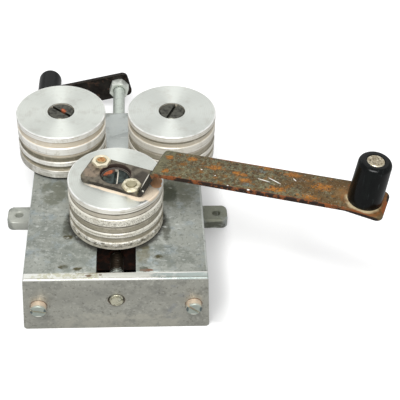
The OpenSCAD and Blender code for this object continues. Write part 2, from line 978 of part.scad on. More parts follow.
module drive_knob_spindle() {
    color("tan")
        at_drive_knob()
            translate([0, 0, bar_t / 2])
                knob_spindle(drive_spindle_d, drive_knob_l, spindle_head_d);
}

module drive_knob() {
    color("black")
        at_drive_knob()
            translate([0, 0, bar_t / 2])
                knob(drive_knob_d, drive_knob_foot_d, drive_knob_l, drive_knob_edge,
                    drive_spindle_d, spindle_head_d);
}

base_casting();
front_plate();
front_plate_screws();
left_axle_screw();
right_axle_screw();
left_thrust_washer();
right_thrust_washer();
left_roller();
right_roller();
carriage();
drive_axle_screw();
drive_thrust_washer();
lead_screw();
front_thrust_collar();
rear_thrust_collar();
collar_set_screws();
adjusting_crank_arm();
crank_inner_nut();
crank_lock_nut();
adjusting_knob_spindle();
adjusting_knob();
drive_roller();
drive_crank_arm();
crank_studs();
crank_nuts();
drive_knob_spindle();
drive_knob();
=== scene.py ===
"""Studio scene of a bench-mounted came bender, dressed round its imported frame.

The frame's solids get procedural finishes. Copies with rounded edges stand for the base, the front
plate and both crank bars, a threaded rod stands for the lead screw, and the drive roller gets its
knurling. Sizes are in millimetres in the part's own frame, and Blender works in metres.
"""
import logging
import math
from dataclasses import dataclass, field
from enum import Enum
from typing import Any, Mapping, Optional, Sequence, Union

import bmesh
import bpy
from mathutils import Matrix, Vector

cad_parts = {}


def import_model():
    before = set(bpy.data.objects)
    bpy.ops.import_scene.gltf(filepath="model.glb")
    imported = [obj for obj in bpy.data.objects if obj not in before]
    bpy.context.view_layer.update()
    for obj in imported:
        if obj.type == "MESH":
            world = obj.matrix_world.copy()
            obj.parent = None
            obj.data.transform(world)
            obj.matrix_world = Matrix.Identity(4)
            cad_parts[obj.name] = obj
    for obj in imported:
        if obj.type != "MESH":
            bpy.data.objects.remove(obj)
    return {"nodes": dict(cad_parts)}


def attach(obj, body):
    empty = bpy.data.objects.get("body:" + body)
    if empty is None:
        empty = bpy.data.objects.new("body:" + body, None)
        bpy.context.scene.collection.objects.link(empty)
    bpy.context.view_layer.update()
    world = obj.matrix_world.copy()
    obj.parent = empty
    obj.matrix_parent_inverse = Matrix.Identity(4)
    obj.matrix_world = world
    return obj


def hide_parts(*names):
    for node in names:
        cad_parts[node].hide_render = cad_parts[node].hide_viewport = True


MM = 0.001
# Points closer than this are one point, in millimetres.
MERGE = 0.002
# Faces that meet at less than FLAT are one flat face, and at more than SHARP a sharp edge, in
# degrees.
FLAT = 0.3
SHARP = 32.0
# Places that several pieces share, in millimetres.
DECK_Z, DECK_HALF, SCREW_Z = 47.5, 60.0, 27.5
PLATE_FRONT, PLATE_BACK = -105.0, -98.5
PLATE_MIDDLE = (PLATE_FRONT + PLATE_BACK) / 2
PLATE_SCREW = (51.2, 22.6)
BACK_AXLE = (39.7, 25.0)
DRIVE_AXLE = (0.0, -48.5)
DRIVE_TURN = -23.6
ROLLER_FOOT, ROLLER_RADIUS, ROLLER_HEIGHT = 49.1, 31.75, 36.3
# The half size of a zone that has no end that way.
ENDLESS = 900.0
# How far each seed moves a noise along each axis, and how strong its finer layers are.
SEED_STEP = (7.3, 3.1, 1.0)
NOISE_ROUGHNESS = 0.65
LOG = logging.getLogger("came_bender")

Point = tuple[float, float, float]
Material = bpy.types.Material
Mesh = bpy.types.Mesh
Socket = bpy.types.NodeSocket
Value = Union[float, Sequence[float], Socket]
Inputs = Mapping[Union[int, str], Any]


class Side(Enum):
    """The two sides of the base, as seen from the front plate."""

    LEFT = -1
    RIGHT = 1


class Rust(Enum):
    """How far rust has got on a blackened piece."""

    CLEAN = 0.0
    SPOTTED = 0.6


def linear(code: str) -> tuple[float, float, float, float]:
    """Turn an sRGB colour into the linear one that Blender works with.

    Args:
        code: Six hex digits, such as "8A8C80".

    Returns:
        Red, green, blue and alpha, each from 0 to 1.
    """
    parts = [int(code[i:i + 2], 16) / 255 for i in (0, 2, 4)]
    red, green, blue = (
        c / 12.92 if c <= 0.04045 else ((c + 0.055) / 1.055) ** 2.4 for c in parts
    )
    return red, green, blue, 1.0


def metres(point: Sequence[float]) -> Point:
    """Turn a point from millimetres into metres."""
    return point[0] * MM, point[1] * MM, point[2] * MM


def add_node(tree: bpy.types.NodeTree, kind: str, inputs: Optional[Inputs] = None,
             output: Union[int, str] = 0, **settings: Any) -> Optional[Socket]:
    """Add a node to a tree, with its settings, its values and its links.

    Args:
        tree: The node tree of a material, a world or a Geometry Nodes group.
        kind: The node's type, such as "ShaderNodeBump".
        inputs: For each input, a value to set, or the socket or list of sockets to link it to.
        output: Which of the node's outputs is wanted.
        **settings: Properties of the node itself.

    Returns:
        The output that is wanted, or None from a node without outputs.
    """
    made = tree.nodes.new(kind)
    for key, setting in settings.items():
        setattr(made, key, setting)
    for key, value in (inputs or {}).items():
        if isinstance(value, (Socket, list)):
            for source in value if isinstance(value, list) else [value]:
                tree.links.new(source, made.inputs[key])
        else:
            made.inputs[key].default_value = value
    return made.outputs[output] if made.outputs else None


@dataclass(frozen=True)
class Place:
    """The point and the turn about the upright that a finish is laid out from.

    Attributes:
        at: The point, in millimetres.
        turn: The turn of the layout's X axis, in degrees.
    """

    at: Point = (0.0, 0.0, 0.0)
    turn: float = 0.0


@dataclass(frozen=True)
class Zone:
    """A soft-edged ellipsoid in a finish's layout, where a stain may show.

    Attributes:
        at: Its middle, in millimetres.
        half: Its half sizes, in millimetres.
        soft: The share of its radius over which it fades out.
        turn: Its turn about the upright, in degrees.
    """

    at: Point
    half: Point
    soft: float = 0.5
    turn: float = 0.0


Zones = tuple[Zone, ...]


@dataclass(frozen=True)
class Stain:
    """A colour that lies over a surface in blotches.

    Attributes:
        colour: Its sRGB hex colour.
        size: The width of a blotch, in millimetres.
        edge: The two levels of the noise between which it comes in.
        amount: How far it hides what is below it.
        seed: Which part of the noise it takes.
        zones: Where it may show; everywhere if there are none.
        rough: Its own roughness, if it differs.
        metal: Its own metallic value, if it differs.
        detail: The number of finer layers in the noise.
        stretch: How fine the blotches are along each axis, against their size.
    """

    colour: str
    size: float
    edge: tuple[float, float]
    amount: float = 1.0
    seed: float = 0.0
    zones: Zones = ()
    rough: Optional[float] = None
    metal: Optional[float] = None
    detail: float = 4.0
    stretch: Point = (1.0, 1.0, 1.0)


Stains = tuple[Stain, ...]


@dataclass(frozen=True)
class Relief:
    """A fine unevenness of a surface.

    Attributes:
        size: The width of a bump, in millimetres.
        depth: The depth from crest to hollow, in millimetres.
        stretch: How fine the bumps are along each axis, against their size.
        detail: The number of finer layers in the noise.
        seed: Which part of the noise it takes.
    """

    size: float
    depth: float
    stretch: Point = (1.0, 1.0, 1.0)
    detail: float = 3.0
    seed: float = 0.0


Reliefs = tuple[Relief, ...]


class Surface:
    """The layers of one material, laid over one another from the bare surface up."""

    def __init__(self, name: str, place: Place, colour: str, rough: float,
                 metal: float) -> None:
        """Start a material with its bare colour.

        Args:
            name: The material's name.
            place: Where its layout starts.
            colour: The bare surface's sRGB hex colour.
            rough: The bare surface's roughness.
            metal: The bare surface's metallic value.
        """
        self.material = bpy.data.materials.new(name)
        self.material.use_nodes = True
        self.tree = self.material.node_tree
        self.tree.nodes.clear()
        self.place = place
        self.whole = self.add("ShaderNodeTexCoord", output="Object")
        metre = 1 / MM
        self.coords = self.local(
            self.whole, Zone(place.at, (metre, metre, metre), turn=place.turn))
        self.colour: Value = linear(colour)
        self.rough: Value = rough
        self.metal: Value = metal
        self.normal: Optional[Socket] = None

    def add(self, kind: str, inputs: Optional[Inputs] = None, output: Union[int, str] = 0,
            **settings: Any) -> Socket:
        """Add a node to the material and give one of its outputs, as add_node does."""
        return add_node(self.tree, kind, inputs, output, **settings)

    def local(self, source: Socket, zone: Zone) -> Socket:
        """Measure points from a zone's middle, in shares of its half sizes."""
        return self.add("ShaderNodeMapping", {
            "Vector": source, "Location": metres(zone.at), "Scale": metres(zone.half),
            "Rotation": (0.0, 0.0, math.radians(zone.turn))}, vector_type="TEXTURE")

    def vector(self, operation: str, *parts: Value) -> Socket:
        """Join vectors by an operation, which gives a number for LENGTH."""
        output = "Value" if operation == "LENGTH" else "Vector"
        return self.add(
            "ShaderNodeVectorMath", dict(enumerate(parts)), output, operation=operation)

    def number(self, operation: str, first: Socket, second: Socket) -> Socket:
        """Join two numbers by an operation."""
        return self.add("ShaderNodeMath", {0: first, 1: second}, operation=operation)

    def ramp(self, value: Socket, low: float, high: float, top: float = 1.0,
             kind: str = "LINEAR") -> Socket:
        """Turn a value into a mask that starts at low and is full, at top, at high."""
        return self.add("ShaderNodeMapRange", {
            "Value": value, "From Min": low, "From Max": high, "To Max": top},
            interpolation_type=kind)

    def grain(self, layer: Union[Stain, Relief]) -> Socket:
        """Lay out a layer's noise in its real size.

        Args:
            layer: The stain or the relief.

        Returns:
            The noise, from 0 to 1.
        """
        spread = self.add("ShaderNodeMapping", {
            "Vector": self.coords,
            "Scale": tuple(along / (layer.size * MM) for along in layer.stretch),
            "Location": tuple(layer.seed * step for step in SEED_STEP)})
        return self.add("ShaderNodeTexNoise", {
            "Vector": spread, "Scale": 1.0, "Detail": layer.detail,
            "Roughness": NOISE_ROUGHNESS})

    def within(self, zones: Sequence[Zone]) -> Socket:
        """Mark where any of some zones is.

        Args:
            zones: The zones, at least one.

        Returns:
            A mask that is 1 inside them and 0 outside.
        """
        total: Optional[Socket] = None
        for zone in zones:
            reach = self.vector("LENGTH", self.local(self.coords, zone))
            mask = self.ramp(reach, 1.0, 1.0 - zone.soft, kind="SMOOTHSTEP")
            total = mask if total is None else self.number("MAXIMUM", total, mask)
        return total

    def mix(self, mask: Socket, below: Value, above: float) -> Socket:
        """Mix a number in where a mask says."""
        return self.add("ShaderNodeMix", {0: mask, 2: below, 3: above}, data_type="FLOAT")

    def cover(self, mask: Socket, stain: Stain) -> None:
        """Mix a stain's colour, roughness and metallic value in where a mask says.

        Args:
            mask: Where it shows, from 0 to 1.
            stain: The stain.
        """
        self.colour = self.add(
            "ShaderNodeMix", {0: mask, 6: self.colour, 7: linear(stain.colour)}, 2,
            data_type="RGBA")
        if stain.rough is not None:
            self.rough = self.mix(mask, self.rough, stain.rough)
        if stain.metal is not None:
            self.metal = self.mix(mask, self.metal, stain.metal)

    def stain(self, stain: Stain, keep: Optional[Socket] = None) -> None:
        """Lay a stain over what is there.

        Args:
            stain: The stain.
            keep: A further mask that it stays within.
        """
        level = self.grain(stain)
        if stain.zones:
            level = self.number("MULTIPLY", level, self.within(stain.zones))
        if keep is not None:
            level = self.number("MULTIPLY", level, keep)
        self.cover(self.ramp(level, *stain.edge, stain.amount, "SMOOTHSTEP"), stain)

    def emboss(self, height: Socket, depth: float) -> None:
        """Bend the normals to a height.

        Args:
            height: The height, from 0 to 1.
            depth: What 1 stands for, in millimetres.
        """
        inputs = {"Height": height, "Distance": depth * MM}
        if self.normal is not None:
            inputs["Normal"] = self.normal
        self.normal = self.add("ShaderNodeBump", inputs)

    def radius(self) -> Socket:
        """Measure the distance from the layout's upright axis, in metres."""
        return self.vector("LENGTH", self.vector("MULTIPLY", self.coords, (1.0, 1.0, 0.0)))

    def height(self) -> Socket:
        """Measure the height above the layout's point, in metres."""
        return self.add("ShaderNodeSeparateXYZ", {0: self.coords}, "Z")

    def round_axis(self) -> Socket:
        """Give the direction round the layout's upright axis, along which rings lie."""
        along = self.vector("CROSS_PRODUCT", (0.0, 0.0, 1.0), self.vector(
            "SUBTRACT", self.whole, metres(self.place.at)))
        return self.add("ShaderNodeVectorTransform", {"Vector": along}, vector_type="VECTOR",
                        convert_from="OBJECT", convert_to="WORLD")

    def turning(self, shade: Stain, depth: float) -> None:
        """Add the rings that a lathe tool leaves on faces and on sides.

        Args:
            shade: The width of the rings, and the colour of the deeper ones.
            depth: The depth of a ring, in millimetres.
        """
        path = self.number("ADD", self.radius(), self.height())
        rings = self.add("ShaderNodeTexNoise", {
            "W": path, "Scale": 1.0 / (shade.size * MM), "Detail": 2.0}, noise_dimensions="1D")
        self.cover(self.ramp(rings, *shade.edge, shade.amount), shade)
        self.emboss(rings, depth)

    def done(self, **constants: Value) -> Material:
        """Close the material.

        Args:
            **constants: Further inputs of the shader, with "_" for each blank in a name.

        Returns:
            The material.
        """
        inputs = {"Base Color": self.colour, "Roughness": self.rough, "Metallic": self.metal}
        if self.normal is not None:
            inputs["Normal"] = self.normal
        inputs.update({key.replace("_", " "): value for key, value in constants.items()})
        shader = self.add("ShaderNodeBsdfPrincipled", inputs)
        self.add("ShaderNodeOutputMaterial", {"Surface": shader})
        return self.material


@dataclass(frozen=True)
class Finish:
    """What every finish is made of, from the bare surface up.

    Attributes:
        name: The material's name.
        place: Where its layout starts.
        colour: The bare surface's sRGB hex colour.
        rough: The bare surface's roughness.
        metal: The bare surface's metallic value.
        stains: What lies over it.
        reliefs: Its unevenness.
        gloss: The strength of the reflections off what isn't metal.
    """

    name: str = ""
    place: Place = Place()
    colour: str = "FFFFFF"
    rough: float = 0.5
    metal: float = 0.0
    stains: Stains = ()
    reliefs: Reliefs = ()
    gloss: float = 0.5

    def layers(self) -> Sequence[Stain]:
        """Give the stains, from the lowest up."""
        return self.stains

    def make(self) -> Material:
        """Make the material.

        Returns:
            The material.
        """
        surface = Surface(self.name, self.place, self.colour, self.rough, self.metal)
        for stain in self.layers():
            surface.stain(stain)
        for relief in self.reliefs:
            surface.emboss(surface.grain(relief), relief.depth)
        return surface.done(Specular_IOR_Level=self.gloss)


def on_deck(x: float, y: float, along: float, across: float, soft: float,
            deep: float = 4.0) -> Zone:
    """Give a zone at the deck's height, from its middle and half sizes."""
    return Zone((x, y, DECK_Z), (along, across, deep), soft)


def drops(along: float, across: float) -> Zones:
    """Give a zone of some half sizes for each drop of flux that has dried on the deck."""
    spots = ((-34.5, -93.5), (-24.6, -95.5), (18, -95.8), (29, -85), (18.6, -76), (-32.2, -65.7),
             (-16.5, -74))
    return tuple(on_deck(*spot, along, across, 0.95, 3) for spot in spots)


@dataclass(frozen=True)
class SandCastAluminium(Finish):
    """Sand-cast aluminium, milled on the deck and dulled by years on a bench.

    The eye sees a grey, slightly green mottle, brown stains where flux and oil have dried,
    pale scratches, edges rubbed bright with a painted highlight along them, and painted shade
    under the rollers, beside the drive roller and where the crank's shadow falls.
    """

    name: str = "sand_cast_aluminium"
    colour: str = "A1A49C"
    metal: float = 0.45
    reliefs: Reliefs = (Relief(14, 0.25), Relief(1.1, 0.06))
    stains: Stains = (
        # Oxide clouds about as wide as a thumb.
        Stain("7C817A", 18, (0.4, 0.64), 0.75, 1, rough=0.58, detail=6),
        Stain("9AA5A9", 12, (0.5, 0.66), 0.6, 2, detail=6),
        Stain("C6C9C3", 7, (0.54, 0.7), 0.6, 3, detail=6, stretch=(0.6, 1, 1)),
        # Grain of the mould's sand, drawn coarser than its 0.4 mm so that it shows.
        Stain("666A62", 2.4, (0.53, 0.66), 0.5, 4),
        Stain("C9CDC7", 1.7, (0.56, 0.68), 0.5, 13),
        # Drops of flux, with a dark core.
        Stain("767260", 5, (0.3, 0.52), 0.5, 5, drops(11, 6.5), rough=0.75, metal=0.2, detail=8,
              stretch=(0.7, 1, 1)),
        Stain("423D20", 2.2, (0.3, 0.45), 0.95, 5, drops(8, 4.6), rough=0.75, metal=0.2, detail=8,
              stretch=(0.7, 1, 1)),
        # The left lug is paler. The right one is painted darker olive as shade from the crank above
        # it, darkest on its front, and has a pale edge.
        Stain("C4C6BC", 8, (0.2, 0.5), 0.75, 8, (Zone((-72, 0, 5), (13, 13, 12), 0.25),)),
        Stain("7F816F", 8, (0.2, 0.5), 0.8, 9, (Zone((72, 0, 5), (13, 13, 12), 0.25),)),
        Stain("55574A", 6, (0.2, 0.5), 0.8, 14, (Zone((72, -12, 3), (17, 7, 6), 0.35),)),
        Stain("A9AB98", 5, (0.2, 0.45), 0.75, 18, (Zone((71, -8, 7.7), (11.5, 1.6, 1.6), 0.6),)),
        # Rust at the front corner of the slot.
        Stain("7E481F", 2, (0.26, 0.42), 0.9, 19, (on_deck(19.6, -97.2, 8, 2.3, 0.8, 3),),
              rough=0.8),
        # The front of the deck is blotched where work has been set down.
        Stain("6F756D", 9, (0.42, 0.58), 0.6, 16, (on_deck(0, -86, 75, 22, 0.4),), detail=8),
        # Between the back rollers the deck is lighter.
        Stain("CBD1CF", 8, (0.15, 0.45), 0.75, 11, (on_deck(0, 46, 20, 38, 0.5, 5),)),
        # Painted shade on the deck in olive: right of the drive roller where the crank's shadow
        # falls, darkest just under the crank, and in front of the left roller.
        Stain("6C6F5F", 9, (0.33, 0.54), 0.68, 10, detail=6, zones=(
            on_deck(44, -22, 22, 26, 0.5), on_deck(-45, -20, 16, 22, 0.6))),
        Stain("4B5042", 7, (0.2, 0.5), 0.8, 15, (on_deck(36.5, -21, 10, 17, 0.6),), detail=6),
        # Dirt and painted contact shade on both sides of the drive roller's path.
        Stain("4A4B3E", 5, (0.2, 0.5), 0.75, 17, detail=6, zones=(
            on_deck(-33.5, -56, 6, 22, 0.8), on_deck(33.5, -58, 6, 22, 0.8))),
        # Old oil along the right of the slot.
        Stain("6E6A52", 5, (0.25, 0.5), 0.65, 20, (on_deck(18, -82, 9, 19, 0.8),), detail=6),
        # Black grime and painted contact shadow lie under the rollers, out to just past their rims.
        Stain("33312A", 6, (0.1, 0.4), 0.85, 12, rough=0.8, zones=(
            on_deck(-BACK_AXLE[0], BACK_AXLE[1], 33.5, 33.5, 0.14, 3),
            on_deck(*BACK_AXLE, 33.5, 33.5, 0.14, 3), on_deck(*DRIVE_AXLE, 38.5, 38.5, 0.25, 3))),
        # Rub marks, a millimetre wide, that run about with the work.
        Stain("E6E9E4", 5, (0.61, 0.72), 0.45, 6, stretch=(0.6, 1.8, 1)),
        # The deck's long edges are rubbed bright and painted with a highlight line.
        Stain("C9CDC8", 9, (0.36, 0.5), 0.75, 7, rough=0.35, zones=(
            Zone((DECK_HALF - 0.4, -12, DECK_Z - 0.2), (1.5, 300, 1.5)),
            Zone((-DECK_HALF, -12, DECK_Z), (0.9, 300, 1.5)))),
    )


@dataclass(frozen=True)
class MilledAluminium(Finish):
    """A flat aluminium plate, milled and greyed on its face, rubbed bright on its top edge.

    The eye sees a warm even grey with faint mill marks across it and a white line along
    the edges, rubbed bright and painted as a highlight.
    """

    name: str = "milled_aluminium"
    colour: str = "ABABA1"
    metal: float = 0.5
    # Mill marks run across the plate; they are drawn 0.8 mm wide so that they show.
    reliefs: Reliefs = (Relief(12, 0.02, (1, 1, 14), 2), Relief(1.4, 0.04))
    stains: Stains = (
        Stain("878780", 9, (0.45, 0.66), 0.6, 1, detail=8),
        Stain("C6C6BC", 2.6, (0.52, 0.68), 0.6, 2, detail=5),
        Stain("878D96", 14, (0.5, 0.66), 0.5, 3, (Zone((38, PLATE_FRONT, 25), (30, 6, 30)),)),
        Stain("625F54", 1.8, (0.56, 0.68), 0.55, 7),
        Stain("C4C2B4", 6, (0.34, 0.56), 0.65, 9, (Zone((0, PLATE_FRONT, 4), (90, 6, 22), 0.7),),
              detail=8),
        # The top edge is rubbed bright and painted with a highlight, with a blue film at the right,
        # a cream one and brown spots at the left.
        Stain("E6E7E0", 6, (0.1, 0.3), 1, 4, (on_deck(0, PLATE_MIDDLE, 400, 40, 0.3, 1.4),),
              rough=0.35),
        Stain("97A8A5", 9, (0.3, 0.52), 0.75, 5, (on_deck(47, PLATE_MIDDLE, 36, 8, 0.5, 2),)),
        Stain("BDBB9C", 3, (0.42, 0.58), 0.7, 12, (on_deck(-32, PLATE_MIDDLE, 38, 8, 0.5, 2),),
              detail=6),
        Stain("6B4E24", 2, (0.25, 0.4), 0.85, 6, rough=0.7, zones=(
            on_deck(-17.7, -101.8, 4.5, 2.2, 0.8, 2), on_deck(-10.1, -101.1, 2, 1.2, 0.8, 2),
            on_deck(-16, PLATE_BACK - 0.4, 20, 0.9, 0.6, 2))),
        # A scribed line behind the front edge, and a painted highlight along the back edge at the
        # right.
        Stain("96927E", 9, (0.34, 0.5), 0.75, 10, (
            on_deck(0, PLATE_FRONT + 1.5, 400, 0.5, 0.8, 2),)),
        Stain("FFFFFA", 9, (0.12, 0.3), 1, 11, (on_deck(38, PLATE_BACK - 0.5, 36, 1.2, 0.5, 2),)),
        # Rust that has run from the two screws and the end of the lead screw, with painted shade
        # where it hugs them.
        Stain("6E553F", 3, (0.16, 0.42), 0.8, 8, rough=0.7, zones=tuple(
            Zone((x, PLATE_FRONT, z), (7.2, 4, 7.2), 0.35)
            for x, z in ((-PLATE_SCREW[0], PLATE_SCREW[1]), (0, SCREW_Z), PLATE_SCREW))),
    )


def band(z: float, half: float, soft: float) -> Zone:
    """Give a zone that runs all round a roller, at a height above its foot."""
    return Zone((0, 0, z), (ENDLESS, ENDLESS, half), soft)


@dataclass(frozen=True)
class TurnedAluminium(Finish):
    """Aluminium bar turned on a lathe and left satin.

    The eye sees fine rings that draw the light out into two lobes on each face, a creamy
    oxide on the sides, a little dirt in the grooves, painted shade on the lower half and on the
    grooves' corners, and a rim painted white as a highlight.
    """

    colour: str = "E2E6DF"
    rough: float = 0.42
    metal: float = 0.9
    side: str = "E6E2D5"
    lower_shade: str = "A8A290"
    groove: str = "BBB29F"
    groove_start: float = 0.4
    groove_radius: float = 30.85
    corners: tuple[float, ...] = (30.7, 26.9, 19.4, 14.4, 10.4)
    # Where the side and the rim come in: down from the top face, and in from the side.
    side_fade: tuple[float, float] = (0.2, 0.8)
    rim_fade: tuple[float, float] = (1.1, 0.7)

    def make(self) -> Material:
        """Make the material.

        Returns:
            The material.
        """
        surface = Surface(self.name, self.place, self.colour, self.rough, self.metal)
        below = surface.ramp(
            surface.height(), *((ROLLER_HEIGHT - down) * MM for down in self.side_fade))
        inside = surface.ramp(
            surface.radius(), (ROLLER_RADIUS - self.groove_start) * MM, self.groove_radius * MM)
        groove = surface.number("MULTIPLY", below, inside)
        rim = surface.ramp(
            surface.radius(), *((ROLLER_RADIUS - inward) * MM for inward in self.rim_fade))
        score = {"rough": 0.45, "detail": 2, "stretch": (0.02, 0.02, 1)}
        layers = [
            (Stain("D2D2CA", 9, (0.48, 0.7), 0.5, 1, rough=0.48), None),
            (Stain(self.side, 12, (0.1, 0.35), 0.95, 2, rough=0.42, metal=0.25), below),
            (Stain("CFC9BA", 6, (0.5, 0.66), 0.6, 6, stretch=(1, 1, 0.5)), below),
            # The lower half is painted darker, as shade.
            (Stain(self.lower_shade, 9, (0.2, 0.6), 0.65, 10, (
                Zone((0, 0, 0), (400, 400, 20), 0.75),), rough=0.5), below),
            # Scores that came bars have worn round the sides, a millimetre wide.
            (Stain("8E8774", 1.3, (0.56, 0.64), 0.55, 8, **score), below),
            (Stain("FDFBF4", 1.3, (0.56, 0.64), 0.55, 9, **score), below),
            (Stain(self.groove, 5, (0.1, 0.5), 0.8, 3, rough=0.55), groove),
            # Dirt lies thicker in the two lower grooves. The dark lines on the grooves' corners are
            # dirt, and painted shadow under the rings above them.
            (Stain("8D8773", 6, (0.2, 0.5), 0.7, 7, (Zone((0, 0, 6), (60, 60, 16), 0.1),),
                   rough=0.6), groove),
            *((Stain("38331F", 8, (0.12, 0.46), 0.92, corner, (
                Zone((0, 0, corner), (60, 60, 1.2), 0.7),), rough=0.7, metal=0.1), groove)
              for corner in self.corners),
            # The edge of the top face is painted white as a highlight.
            (Stain("FFFFFC", 9, (0.3, 0.6), 0.8, 11, (band(ROLLER_HEIGHT, 1.1, 0.4),), rough=0.5,
                   metal=0.2), rim),
            *((stain, None) for stain in self.stains),
        ]
        for stain, keep in layers:
            surface.stain(stain, keep)
        # Tool rings, drawn half a millimetre wide so that they show.
        surface.turning(Stain("B9B7AE", 0.5, (0.45, 0.7), 0.25), 0.012)
        return surface.done(
            Anisotropic=0.75, Anisotropic_Rotation=0.25, Tangent=surface.round_axis())


@dataclass(frozen=True)
class BlackenedSteel(Finish):
    """Steel screws and collars, blackened and worn.

    The eye sees a dark blue-grey with brighter worn edges and orange rust that starts in
    the slot.
    """

    colour: str = "62625A"
    rough: float = 0.38
    metal: float = 0.95
    reliefs: Reliefs = (Relief(0.9, 0.05),)
    rust: Rust = Rust.CLEAN
    rusty: Zones = ()
    bright: Zones = ()

    def layers(self) -> Sequence[Stain]:
        """Give the stains, from the lowest up.

        Returns:
            Wear everywhere, and rust and a painted highlight where they were asked for.
        """
        found = [Stain("2B2A28", 3, (0.42, 0.65), 0.8, 1, rough=0.5),
                 Stain("75746C", 1.5, (0.6, 0.75), 0.5, 2)]
        if self.rust is not Rust.CLEAN:
            found.append(Stain("6B3E22", 2.5, (0.46, 0.6), self.rust.value, 3, rough=0.85,
                               metal=0.2))
        if self.rusty:
            # Brown rust with orange flecks on it, each with its size for a seed.
            found += [Stain(colour, size, edge, 0.9, seed=size, zones=self.rusty, rough=0.85,
                            metal=0.1, detail=8)
                      for colour, size, edge in (("7A412A", 2.0, (0.2, 0.42)),
                                                 ("B8633C", 1.2, (0.34, 0.5)))]
        # A painted highlight, for the lit wall of a slot.
        if self.bright:
            found.append(Stain("F2ECDC", 1.5, (0.2, 0.45), 0.95, 5, self.bright))
        return found


@dataclass(frozen=True)
class ZincPlatedSteel(Finish):
    """Zinc-plated screws, nuts and shafts, dulled to cream and grey.

    The eye sees a soft pale metal with cloudy white bloom and a few brown specks.
    """

    name: str = "zinc_plated_steel"
    colour: str = "E8EDE4"
    rough: float = 0.4
    metal: float = 0.6
    reliefs: Reliefs = (Relief(0.8, 0.03),)
    bloom: str = "F2F5EE"
    dull: str = "B6BCB4"

    def layers(self) -> Sequence[Stain]:
        """Give the plating's own clouds and specks, then the piece's stains."""
        return (Stain(self.dull, 5, (0.5, 0.72), 0.7, 1),
                Stain(self.bloom, 3, (0.5, 0.7), 0.6, 2, rough=0.65, metal=0.3),
                Stain("7A5230", 2, (0.64, 0.72), 0.8, 3, rough=0.8, metal=0.2), *self.stains)


def on_bar(s: float, t: float, along: float, across: float, soft: float = 0.85) -> Zone:
    """Give a zone that runs right through the crank bar, from its middle and half sizes."""
    return Zone((s, t, 120), (along, across, 200), soft)


